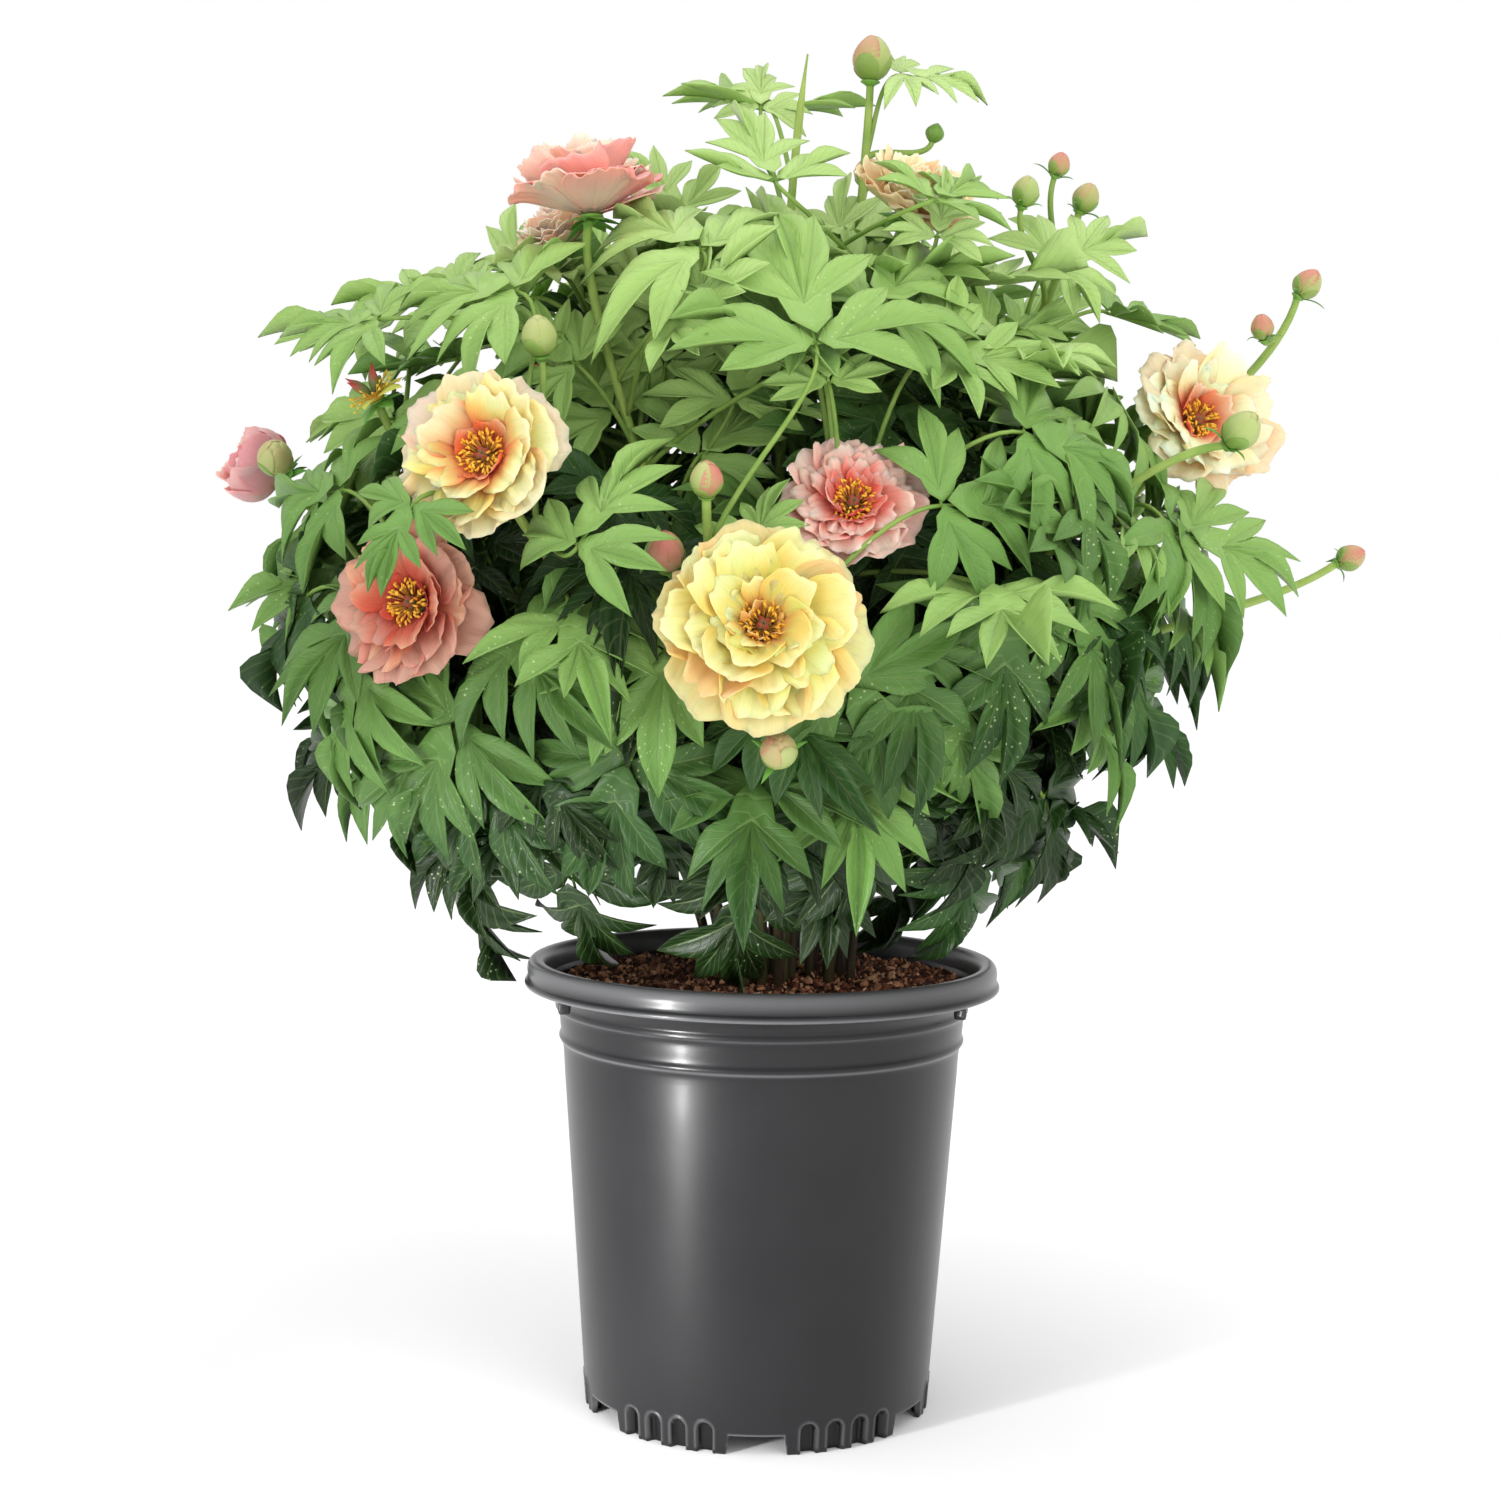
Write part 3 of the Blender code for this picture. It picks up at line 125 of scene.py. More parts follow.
# Blooms: centre of the face in mm, facing, diameter in mm, habit, whether the stamens show,
# stretch of the petals, reach of the flare up a petal in mm, and the colours of the flare, of
# the petals' body, of their edge and of a blush.
BLOOMS = {
    "bloom_01": ((-3, -262, 466), (0.05, -0.93, 0.28), 102, "full", True, 1.0, 16,
                 ("#ea9646", "#eed672", "#f7efb4", "#eabb82")),
    "bloom_02": ((-145, -222, 547), (-0.25, -0.92, 0.25), 92, "open", True, 1.0, 24,
                 ("#e4522a", "#efd878", "#f6ecbc", "#eec6b4")),
    "bloom_03": ((-187, -178, 472), (-0.40, -0.90, 0.10), 80, "open", True, 1.1, 29,
                 ("#c03c28", "#d88664", "#e2a88c", "#cc9484")),
    "bloom_04": ((42, -195, 527), (0.10, -0.88, 0.42), 77, "dense", True, 1.0, 23,
                 ("#e64e3c", "#f9ac9a", "#ffd9cb", "#fabdb0")),
    "bloom_05": ((-98, -120, 694), (-0.05, 0.05, 1.0), 82, "cup", False, 1.0, 14,
                 ("#f2a898", "#fcd4ba", "#ffeede", "#f0928f")),
    "bloom_06": ((76, -90, 696), (0.35, -0.45, 0.80), 66, "cup", False, 1.08, 14,
                 ("#f6b878", "#ffe4b0", "#fff3d4", "#fcd2a8")),
    "bloom_07": ((250, -20, 585), (0.40, -0.85, 0.30), 88, "open", True, 1.14, 22,
                 ("#e65c34", "#f8e6ac", "#fdf6de", "#f9d3b0")),
    "bloom_08": ((-297, 10, 549), (-0.85, -0.20, 0.35), 56, "ball", False, 1.1, 12,
                 ("#d66c76", "#eeaaa6", "#fad0c6", "#dc7c88")),
    "bloom_09": ((-119, -60, 680), (-0.40, -0.30, 0.85), 52, "cup", False, 1.0, 10,
                 ("#f0b090", "#f6dcc4", "#fbeee0", "#f0c0ae")),
    "bloom_10": ((70, 225, 520), (0.25, 0.90, 0.30), 94, "open", True, 1.0, 16,
                 ("#e26432", "#f4e08a", "#faf2c8", "#f2c8a0")),
    "bloom_11": ((-150, 170, 600), (-0.50, 0.75, 0.40), 86, "open", True, 1.0, 16,
                 ("#dc6040", "#f5bc98", "#fbdcc0", "#ec9c88")),
    "bloom_12": ((190, 160, 440), (0.60, 0.75, 0.20), 80, "open", True, 1.0, 20,
                 ("#c6402c", "#e89a80", "#efbca6", "#e0a898")),
}
# Rings of petals from outside in, for each habit: count, steepness at the base and at the tip
# in degrees, length and width as shares of the bloom's radius, start from the axis in mm, and
# lift along it in mm.
RINGS = {
    "full": (
        (9, 28, -6, 1.05, 0.82, 3.6, 1.2), (9, 38, 2, 1.00, 0.74, 3.9, 2.0),
        (8, 48, 14, 0.90, 0.68, 4.2, 3.0), (7, 59, 30, 0.75, 0.58, 4.8, 3.8),
        (6, 68, 48, 0.56, 0.44, 6.2, 4.4), (5, 80, 74, 0.36, 0.30, 5.4, 4.6),
    ),
    "dense": (
        (9, 32, 2, 1.02, 0.80, 3.6, 1.2), (9, 46, 16, 0.94, 0.66, 3.9, 2.2),
        (9, 56, 30, 0.80, 0.50, 4.4, 3.2), (9, 66, 46, 0.62, 0.36, 5.4, 3.8),
        (8, 74, 60, 0.46, 0.26, 7.0, 4.4), (7, 84, 72, 0.37, 0.20, 5.4, 4.8),
    ),
    "ball": (
        (7, -12, 128, 1.40, 1.15, 3.6, 1.2), (6, 10, 130, 1.26, 1.04, 3.6, 2.2),
        (6, 34, 124, 1.08, 0.86, 3.6, 3.0), (5, 60, 112, 0.88, 0.66, 3.0, 4.0),
    ),
    "open": (
        (8, 34, 2, 1.02, 0.84, 3.6, 1.2), (7, 48, 14, 0.92, 0.76, 4.0, 2.2),
        (6, 60, 28, 0.76, 0.64, 5.2, 3.2), (4, 70, 46, 0.52, 0.46, 7.6, 4.0),
    ),
    "cup": (
        (8, 22, 28, 1.08, 0.92, 3.6, 1.0), (8, 42, 38, 1.04, 0.86, 3.8, 2.0),
        (7, 62, 46, 1.00, 0.78, 4.2, 3.0), (6, 72, 68, 0.96, 0.64, 4.6, 4.0),
        (5, 80, 86, 0.84, 0.50, 3.0, 4.6),
    ),
}
# Petals are tilted like a pinwheel's. Those whose two steepnesses come to more than CLOSING
# close over the heart: the wide ones wrap round the axis, and the widest have calmer edges.
PINWHEEL, CLOSING, WRAP_WIDTH, CALM_WIDTH = 0.07, 88, 0.45, 0.65
PETAL_ROWS, PETAL_COLUMNS = 11, 17
# Slots of the blooms' petals; the rest are peach.
PETAL_SLOTS = {
    "bloom_01": "yellow", "bloom_02": "yellow", "bloom_07": "yellow", "bloom_10": "yellow",
    "bloom_03": "coral", "bloom_04": "coral", "bloom_12": "coral", "bloom_08": "rose",
}
BRACTED = ("bloom_05", "bloom_08")
# From the centre of a face back to the seat: as a share of a bloom's size, and in metres.
BLOOM_BACK, SPENT_BACK, BUD_TALL = 0.20, 0.006, 1.12
CORE_HEIGHT, GAP, GOLDEN_ANGLE = 0.0052, 0.0004, 2.39996
STAMENS, OLD_STAMENS, SEPAL = 72, 34, 0.0008
BITS_SEED, HEART_SEED, PLACED_SEED, SPENT_SEED = 19, 19, 29, 83
# Radius and height of the green cup, for buds as shares of their size.
BLOOM_CALYX, SPENT_CALYX, BUD_CALYX = (0.0065, 0.005), (0.0045, 0.003), (0.26, 0.16)

# Buds: centre in mm, facing, diameter in mm, flush from green at 0 to red-brown at 1, and
# whether narrow bracts curl away under it.
BUDS = {
    "bud_01": ((55, -20, 784), (0.05, 0.0, 1.0), 22, 0.62, False),
    "bud_02": ((142, -40, 707), (0.25, -0.1, 1.0), 15, 0.15, True),
    "bud_03": ((163, -20, 726), (0.35, 0.0, 1.0), 12, 0.75, True),
    "bud_04": ((180, -10, 709), (0.45, 0.0, 1.0), 15, 0.25, True),
    "bud_05": ((-118, -190, 606), (-0.1, -0.4, 1.0), 18, 0.08, False),
    "bud_06": ((-32, -235, 533), (0.0, -0.5, 1.0), 16, 0.60, False),
    "bud_07": ((-52, -222, 498), (-0.1, -0.6, 0.8), 19, 0.65, False),
    "bud_08": ((5, -245, 402), (0.0, -0.8, 0.3), 18, 0.35, True),
    "bud_09": ((316, 20, 666), (0.6, 0.0, 0.8), 16, 0.80, True),
    "bud_10": ((288, 10, 639), (-0.2, -0.2, 1.0), 13, 0.85, True),
    "bud_11": ((256, -95, 571), (0.5, -0.5, 0.7), 20, 0.10, True),
    "bud_12": ((341, 0, 505), (0.9, 0.0, 0.4), 15, 0.55, True),
    "bud_13": ((-280, -45, 552), (0.1, -0.8, 0.5), 20, 0.15, False),
    "bud_14": ((60, 120, 745), (0.1, 0.3, 1.0), 17, 0.40, False),
}
SPENT_BLOOM = ((-214, -120, 584), (-0.5, -0.3, 0.8), 30)
GREEN_TIPS = {
    "tip_01": ((92, -20, 744), (0.3, 0.0, 1.0), 11),
    "tip_02": ((-233, -130, 517), (-0.4, -0.2, 0.8), 11),
}
STUB = ((18, -40, 782), (0.24, 0.0, 1.0))

# Stems by number: what the stem ends in, its two bends in mm where it has its own, what its
# branches end in with the place where each leaves it, and the seeded draw that it keeps.
STEMS = {
    1: ("bloom_01", None, (("bud_08", 0.62),), 0),
    2: ("bloom_02", None, (("bud_05", 0.70),), 0),
    3: ("bloom_03", None, (("tip_02", 0.72),), 0),
    4: ("bloom_04", None, (), 0),
    5: ("bloom_05", ((-50, -120, 420), (-75, -165, 600)), (), 32),
    6: ("bloom_06", None, (), 0),
    7: ("bloom_07", None, (), 0),
    8: ("bud_09", ((60, 20, 470), (262, 22, 590)), (("bud_10", 0.90),), 23),
    9: ("bloom_08", None, (("bud_13", 0.80),), 0),
    10: ("bloom_09", None, (), 0),
    11: ("bud_06", None, (("bud_07", 0.74),), 0),
    12: ("spent_bloom", None, (), 0),
    13: ("stub", None, (), 0),
    14: ("bud_01", None, (("tip_01", 0.86),), 0),
    15: ("bud_04", None, (("bud_02", 0.80), ("bud_03", 0.84)), 0),
    16: ("bud_12", ((60, -10, 460), (265, -5, 452)), (), 0),
    17: ("bloom_10", None, (), 0),
    18: ("bloom_11", None, (("bud_14", 0.66),), 0),
    19: ("bloom_12", None, (), 0),
    20: ("bud_11", ((72, -48, 446), (194, -102, 562)), (), 0),
}

# Leaves: place of the fork across and up in mm, aim in degrees, size, and for each turn about
# the bush the seeded draw that the leaf keeps and the number of its stem.
LEAVES = (
    (45, 372, -85, 1.05, ((0, 0, 1),)),
    (92, 425, -62, 0.95, ((0, 0, 1),)),
    (121, 467, -88, 1.10, ((0, 0, 4),)),
    (196, 451, -50, 1.00, ((0, 0, 20), (170, 0, 9))),
    (149, 369, -50, 1.00, ((0, 0, 20),)),
    (119, 336, -78, 0.95, ((0, 0, 20),)),
    (-14, 322, -100, 1.00, ((0, 2, 2), (125, 0, 19))),
    (-105, 322, -95, 1.00, ((0, 0, 3),)),
    (-177, 308, -110, 1.00, ((0, 4, 9),)),
    (-139, 374, -140, 1.00, ((0, 0, 3), (180, 0, 19))),
    (-160, 410, -135, 1.05, ((0, 0, 3),)),
    (-214, 436, -140, 1.00, ((0, 1, 12), (150, 0, 16))),
    (-53, 447, -172, 1.05, ((0, 5, 11), (215, 0, 18))),
    (-73, 390, -110, 1.05, ((0, 5, 11),)),
    (-83, 511, 50, 0.84, ((0, 177, 2),)),
    (83, 519, 15, 0.95, ((0, 1, 1), (185, 0, 18))),
    (127, 564, 5, 1.00, ((0, 0, 4),)),
    (19, 600, 100, 1.10, ((0, 1, 11), (180, 0, 18))),
    (54, 627, 60, 1.05, ((0, 11, 5),)),
    (-1, 755, 90, 1.00, ((0, 0, 13),)),
    (-128, 630, 150, 1.00, ((0, 0, 2), (160, 0, 17))),
    (-197, 621, 170, 0.74, ((0, 90, 5),)),
    (-251, 476, -168, 1.00, ((0, 0, 3),)),
    (-226, 531, 165, 0.90, ((0, 0, 3),)),
    (198, 650, 30, 0.74, ((0, 8, 15),)),
    (205, 601, -5, 1.00, ((0, 113, 15),)),
    (216, 520, -25, 1.10, ((0, 2, 7), (165, 1, 9))),
    (-1, 698, 95, 0.72, ((0, 0, 6),)),
    (70, 675, 65, 0.66, ((0, 86, 13),)),
    (-34, 654, 120, 1.05, ((0, 1, 5), (195, 2, 10))),
)

# Single leaves by place in mm, aim, facing, size, tone and perk.
PLACED_LEAVES = (
    ((-176, -226, 519), (-0.5, -0.2, -1.0), (-0.3, -0.9, 0.5), 0.60, 0.5, 0.0),
    ((-236, -60, 484), (-1.0, -0.1, -0.12), (0.0, -0.7, 0.8), 0.80, 0.8, 0.1),
    ((72, -18, 776), (1.0, 0.0, 0.10), (0.1, -0.5, 0.9), 0.62, 0.7, 0.2),
    ((-10, -212, 500), (0.35, -0.1, 0.9), (-0.2, -0.9, 0.4), 0.50, 0.9, 0.4),
    ((28, -190, 585), (-0.2, -0.1, 1.0), (0.0, -0.9, 0.4), 0.55, 0.8, 0.4),
    ((-52, -60, 690), (-0.5, -0.2, 0.8), (0.0, -0.8, 0.5), 0.62, 0.6, 0.5),
    ((160, -40, 668), (0.75, -0.2, 0.65), (0.1, -0.85, 0.5), 0.74, 0.8, 0.15),
    ((-180, -40, 640), (-0.8, -0.1, 0.5), (-0.2, -0.6, 0.8), 0.85, 0.6, 0.6),
    ((-225, -20, 625), (-1.0, -0.1, 0.35), (-0.1, -0.5, 0.9), 0.85, 0.5, 0.5),
    ((86, -128, 668), (0.15, -0.1, 1.0), (0.1, -0.9, 0.5), 0.50, 0.9, 0.4),
    ((-8, -12, 757), (0.05, 0.5, 0.85), (0.0, -0.85, 0.5), 0.50, 0.7, 0.1),
    ((-85, -105, 575), (-0.5, -0.1, 0.8), (-0.1, -0.9, 0.45), 0.78, 0.75, 0.4),
    ((-58, -100, 600), (0.1, -0.1, 1.0), (0.05, -0.9, 0.4), 0.80, 0.90, 0.3),
    ((-38, -120, 552), (0.5, -0.1, 0.7), (0.1, -0.9, 0.4), 0.75, 0.70, 0.4),
    ((-66, -90, 628), (-0.2, 0.0, 1.0), (0.0, -0.9, 0.45), 0.72, 0.85, 0.4),
    ((-20, -125, 580), (0.2, -0.1, 1.0), (0.0, -0.9, 0.45), 0.75, 0.90, 0.4),
    ((-104, -132, 598), (-0.7, -0.1, 0.6), (-0.2, -0.9, 0.4), 0.62, 0.70, 0.4),
    ((34, -138, 340), (0.1, -0.3, -1.0), (0.1, -0.9, 0.4), 0.74, 0.0, 0.0),
    ((110, -212, 480), (0.1, -0.9, -0.40), (0.0, -0.4, 0.9), 0.92, 1.15, 0.2),
    ((46, -176, 394), (0.05, -0.3, -1.0), (0.1, -0.85, 0.5), 0.95, 1.25, 0.0),
    ((230, -80, 514), (1.0, -0.2, -0.15), (0.1, -0.75, 0.65), 0.88, 0.8, 0.2),
    ((-98, -212, 464), (0.25, -0.75, -0.50), (-0.1, -0.6, 0.8), 0.86, 1.0, 0.2),
)
# Camera: place, pitch and roll in radians, and focal length in widths of the picture.
EYE, EYE_PITCH, EYE_ROLL = (-0.009, -1.40, 0.472), 0.0605, math.radians(0.8)
EYE_FOCAL = 2381 / 1500
# The stem that stays bare of leaves, the height from where it does, how far blades before it
# stay away across and up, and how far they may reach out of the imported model's box.
BARE_STEM, BARE_FROM, BARE_ROOM, BOX_ROOM = 5, 0.545, (0.008, 0.012), 0.006
# Shares of its rise that a leaf may keep, to lie clear of the flowers.
RISES = (1.0, 0.65, 0.35, 0.0)
# The first eight blooms and all buds but the last are to be seen from the front.
FRONT_BLOOMS = 8
# Filler leaves: how many are tried, at what share of the bush's depth, seed and range of tone. The low
# tones of the inner shells paint shade on the leaves inside the bush.
FILLERS = ((520, 0.93, 3, (0.0, 1.0)), (300, 0.74, 8, (-0.7, -0.1)), (240, 0.58, 5, (-0.35, 0.35)))


# Vectors

def unit(vector):
    """A vector divided by its length."""
    vector = np.asarray(vector, float)
    return vector / np.linalg.norm(vector)


def units(vectors):
    """Each row divided by its length."""
    return vectors / np.maximum(np.linalg.norm(vectors, axis=1), 1e-12)[:, None]


def circle(count):
    """Angles evenly round a circle, from 0."""
    return np.linspace(0, 2 * np.pi, count, endpoint=False)


def frame_of(axis):
    """Two directions across the axis, and the axis."""
    axis = unit(axis)
    across = unit(np.cross((0.0, 0.0, 1.0) if abs(axis[2]) < 0.9 else (0.0, 1.0, 0.0), axis))
    return across, np.cross(axis, across), axis


def bezier(a, b, c, d, count):
    """Cubic curve: (1-t)^3 a + 3 (1-t)^2 t b + 3 (1-t) t^2 c + t^3 d."""
    t = np.linspace(0.0, 1.0, count)[:, None]
    return (1 - t) ** 3 * a + 3 * (1 - t) ** 2 * t * b + 3 * (1 - t) * t**2 * c + t**3 * d


def turned(vector, degrees):
    """A vector turned about +Z."""
    a = math.radians(degrees)
    x, y, z = vector
    return np.array((x * math.cos(a) - y * math.sin(a), x * math.sin(a) + y * math.cos(a), z))


def spoke(across, up, angle):
    """The direction at an angle between two directions across an axis."""
    return across * math.cos(angle) + up * math.sin(angle)


def smooth(x):
    """3 x^2 - 2 x^3, held at 0 and 1 outside that range."""
    x = np.clip(x, 0.0, 1.0)
    return x * x * (3 - 2 * x)


# Meshes. A sheet is a dictionary of points, triangles, uv and marks, which are named numbers
# at the points.

def grid(rows, columns, closed=False):
    """Triangles of a grid whose point (i, j) has the index i * columns + j."""
    i, j = np.meshgrid(np.arange(rows - 1), np.arange(columns - (not closed)), indexing="ij")
    a, b = i * columns + j, i * columns + (j + 1) % columns
    c, d = b + columns, a + columns
    return np.concatenate((np.stack((a, b, c), -1).reshape(-1, 3), np.stack((a, c, d), -1).reshape(-1, 3)))


def sheet_of(points, faces, uv=None, **marks):
    """A sheet of its points, each mark given once or for every point."""
    points = np.asarray(points, float).reshape(-1, 3)
    uv = np.zeros((len(points), 2)) if uv is None else np.asarray(uv, float).reshape(-1, 2)
    marks = {key: np.broadcast_to(np.asarray(value, float), len(points)) for key, value in marks.items()}
    return {"points": points, "faces": faces, "uv": uv, "marks": marks}


def facing_out(sheet):
    """A closed sheet with its triangles turned round if its volume is negative."""
    corners = sheet["points"][sheet["faces"]] - sheet["points"].mean(axis=0)
    if np.linalg.det(corners).sum() < 0:
        sheet["faces"] = sheet["faces"][:, ::-1]
    return sheet


def mesh_of(name, sheets):
    """One mesh of all the sheets, with equal points of a sheet welded and its marks stored."""
    points, faces, uvs, marks, first = [], [], [], {}, 0
    for sheet in sheets:
        _, kept, welded = np.unique(
            np.round(sheet["points"], 6), axis=0, return_index=True, return_inverse=True
        )
        triangles = welded.reshape(-1)[sheet["faces"]]
        whole = (
            (triangles[:, 0] != triangles[:, 1])
            & (triangles[:, 1] != triangles[:, 2])
            & (triangles[:, 2] != triangles[:, 0])
        )
        points.append(sheet["points"][kept])
        faces.append(triangles[whole] + first)
        uvs.append(sheet["uv"][sheet["faces"][whole]])
        for key, value in sheet["marks"].items():
            marks.setdefault(key, []).append(value[kept])
        first += len(kept)
    points, faces, uvs = np.concatenate(points), np.concatenate(faces), np.concatenate(uvs)
    mesh = bpy.data.meshes.new(name)
    mesh.vertices.add(len(points))
    mesh.vertices.foreach_set("co", points.ravel())
    mesh.loops.add(faces.size)
    mesh.loops.foreach_set("vertex_index", faces.ravel().astype(np.int32))
    mesh.polygons.add(len(faces))
    mesh.polygons.foreach_set("loop_start", np.arange(0, faces.size, 3, dtype=np.int32))
    mesh.uv_layers.new(name="UVMap").data.foreach_set("uv", uvs.ravel())
    for key, values in marks.items():
        mesh.attributes.new(key, "FLOAT", "POINT").data.foreach_set("value", np.concatenate(values))
    mesh.update(calc_edges=True)
    mesh.validate()
    mesh.shade_smooth()
    return mesh


def make_piece(name, sheets, material, replaced, thickness=0.0, flat=False):
    """An object of sheets in the frame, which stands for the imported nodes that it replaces."""
    mesh = mesh_of(name, sheets)
    if flat:
        mesh.shade_flat()
    mesh.materials.append(material)
    piece = bpy.data.objects.new(name, mesh)
    bpy.context.scene.collection.objects.link(piece)
    if thickness:
        solid = piece.modifiers.new("thickness", "SOLIDIFY")
        solid.thickness = thickness
        solid.offset = 0.0
    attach(piece, "root")
    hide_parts(*replaced)


def tube(path, radii, sides, **marks):
    """A tube round a path: place + radius * (cos a * across + sin a * up), closed at its ends."""
    path, radii = np.asarray(path, float), np.asarray(radii, float)
    ways = units(np.gradient(path, axis=0))
    guides = [np.cross(axis, ways) for axis in np.eye(3)]
    guide = max(guides, key=lambda g: np.linalg.norm(g, axis=1).min())
    across = units(guide)
    up = np.cross(ways, across)
    rows = np.concatenate(([0], np.arange(len(path)), [len(path) - 1]))
    radii = np.concatenate(([0.0], radii, [0.0]))
    a = circle(sides)
    ring = np.cos(a)[None, :, None] * across[rows][:, None] + np.sin(a)[None, :, None] * up[rows][:, None]
    points = path[rows][:, None] + ring * radii[:, None, None]
    along = np.repeat(np.linspace(0, 1, len(rows)), sides)
    uv = np.stack((np.tile(a / (2 * np.pi), len(rows)), along), -1)
    marks = {key: np.repeat(np.concatenate(([v[0]], v, [v[-1]])), sides) if np.ndim(v) else v
             for key, v in marks.items()}
    return facing_out(sheet_of(points, grid(len(rows), sides, True), uv, **marks))


# Materials

def linear(code):
    """An sRGB hex colour as linear red, green, blue and alpha."""
    channels = [int(code[i:i + 2], 16) / 255 for i in (1, 3, 5)]
    return tuple(c / 12.92 if c <= 0.04045 else ((c + 0.055) / 1.055) ** 2.4 for c in channels) + (1.0,)


def plug(tree, made, links):
    """Links the sockets of a node, each from a node and its output."""
    for socket, (source, output) in links.items():
        tree.links.new(source.outputs[output], made.inputs[socket])


def node(tree, kind, values=None, links=None, stops=None, **settings):
    """Adds a shader node with its settings, socket values, links and the stops of its ramp. The
    sockets of a Mix of colours go by number: 0 is the share, 6 and 7 are the colours, 2 is out."""
    made = tree.nodes.new(kind)
    for key, value in settings.items():
        setattr(made, key, value)
    for socket, value in (values or {}).items():
        made.inputs[socket].default_value = value
    plug(tree, made, links or {})
    for k, (place, colour) in enumerate(stops or ()):
        elements = made.color_ramp.elements
        element = elements[k] if k < len(elements) else elements.new(place)
        element.position, element.color = place, colour
    return made


def new_material(name, **sockets):
    """A material with one Principled shader whose constant sockets are set; returns its parts."""
    material = bpy.data.materials.new(name)
    material.use_nodes = True
    tree = material.node_tree
    shader = tree.nodes["Principled BSDF"]
    for socket, value in sockets.items():
        shader.inputs[socket.replace("_", " ")].default_value = value
    return material, tree, shader


def moulded_plastic(settings):
    """Injection moulded polypropylene: satin black with a faint grain of the mould, so that it shines
    softly, with pale highlights painted on its lip, its ridges, its lugs, the brims of its recesses and the
    edges of its drain notches, and with near black painted shade in its recesses."""
    material, tree, shader = new_material(
        "moulded_black_polypropylene", IOR=1.49, Specular_IOR_Level=0.32, Coat_Weight=0.15,
        Coat_Roughness=0.16,
    )
    place = node(tree, "ShaderNodeTexCoord")
    grain = node(tree, "ShaderNodeTexNoise", {"Scale": 900.0, "Detail": 3.0}, {"Vector": (place, "Object")})
    cloud = node(tree, "ShaderNodeTexNoise", {"Scale": 22.0, "Detail": 4.0}, {"Vector": (place, "Object")})
    base = (*settings.plastic_colour, 1.0)
    pale = tuple(min(1.0, c * 1.15 + 0.001) for c in settings.plastic_colour) + (1.0,)
    colour = node(
        tree, "ShaderNodeValToRGB", links={"Fac": (cloud, "Fac")},
        stops=((0.35, base), (0.75, pale)),
    )
    rub, deep = (
        node(tree, "ShaderNodeAttribute", attribute_name=key) for key in ("rub", "deep")
    )
    # Painted shade: the mark deep darkens the recesses towards near black.
    dark = node(
        tree, "ShaderNodeMix", {7: linear("#020202")}, {0: (deep, "Fac"), 6: (colour, "Color")},
        data_type="RGBA",
    )
    # Painted highlight: this mark mixes the colour towards pale grey on the lip, ridges, lugs, recess brims
    # and notch edges.
    highlighted = node(
        tree, "ShaderNodeMix", {7: linear("#8c8c8e")}, {0: (rub, "Fac"), 6: (dark, 2)},
        data_type="RGBA",
    )
    rough = node(tree, "ShaderNodeMapRange", {"To Min": 0.27, "To Max": 0.36}, {"Value": (cloud, "Fac")})
    bump = node(tree, "ShaderNodeBump", {"Strength": 0.10, "Distance": 0.0004}, {"Height": (grain, "Fac")})
    plug(tree, shader, {
        "Base Color": (highlighted, 2), "Roughness": (rough, "Result"), "Normal": (bump, "Normal"),
    })
    return material


def bark_material(settings):
    """Composted pine bark: dull broken bits from near black to red-brown, each bit of one tone."""
    material, tree, shader = new_material("composted_pine_bark", Roughness=0.9)
    tone = node(tree, "ShaderNodeAttribute", attribute_name="tone")
    place = node(tree, "ShaderNodeTexCoord")
    fibre = node(tree, "ShaderNodeTexNoise", {"Scale": 700.0, "Detail": 3.0}, {"Vector": (place, "Object")})
    dark, light = (*settings.dark_bark, 1.0), (*settings.light_bark, 1.0)
    colour = node(
        tree, "ShaderNodeValToRGB", links={"Fac": (tone, "Fac")},
        stops=((0.0, dark), (0.36, linear("#7c4a34")), (0.74, light), (1.0, linear("#ecc4a0"))),
    )
    shade = node(tree, "ShaderNodeMapRange", {"To Min": 0.75, "To Max": 1.15}, {"Value": (fibre, "Fac")})
    mixed = node(
        tree, "ShaderNodeMix", {0: 1.0}, {6: (colour, "Color"), 7: (shade, "Result")},
        data_type="RGBA", blend_type="MULTIPLY",
    )
    bump = node(tree, "ShaderNodeBump", {"Strength": 0.5, "Distance": 0.0006}, {"Height": (fibre, "Fac")})
    plug(tree, shader, {"Base Color": (mixed, 2), "Normal": (bump, "Normal")})
    return material


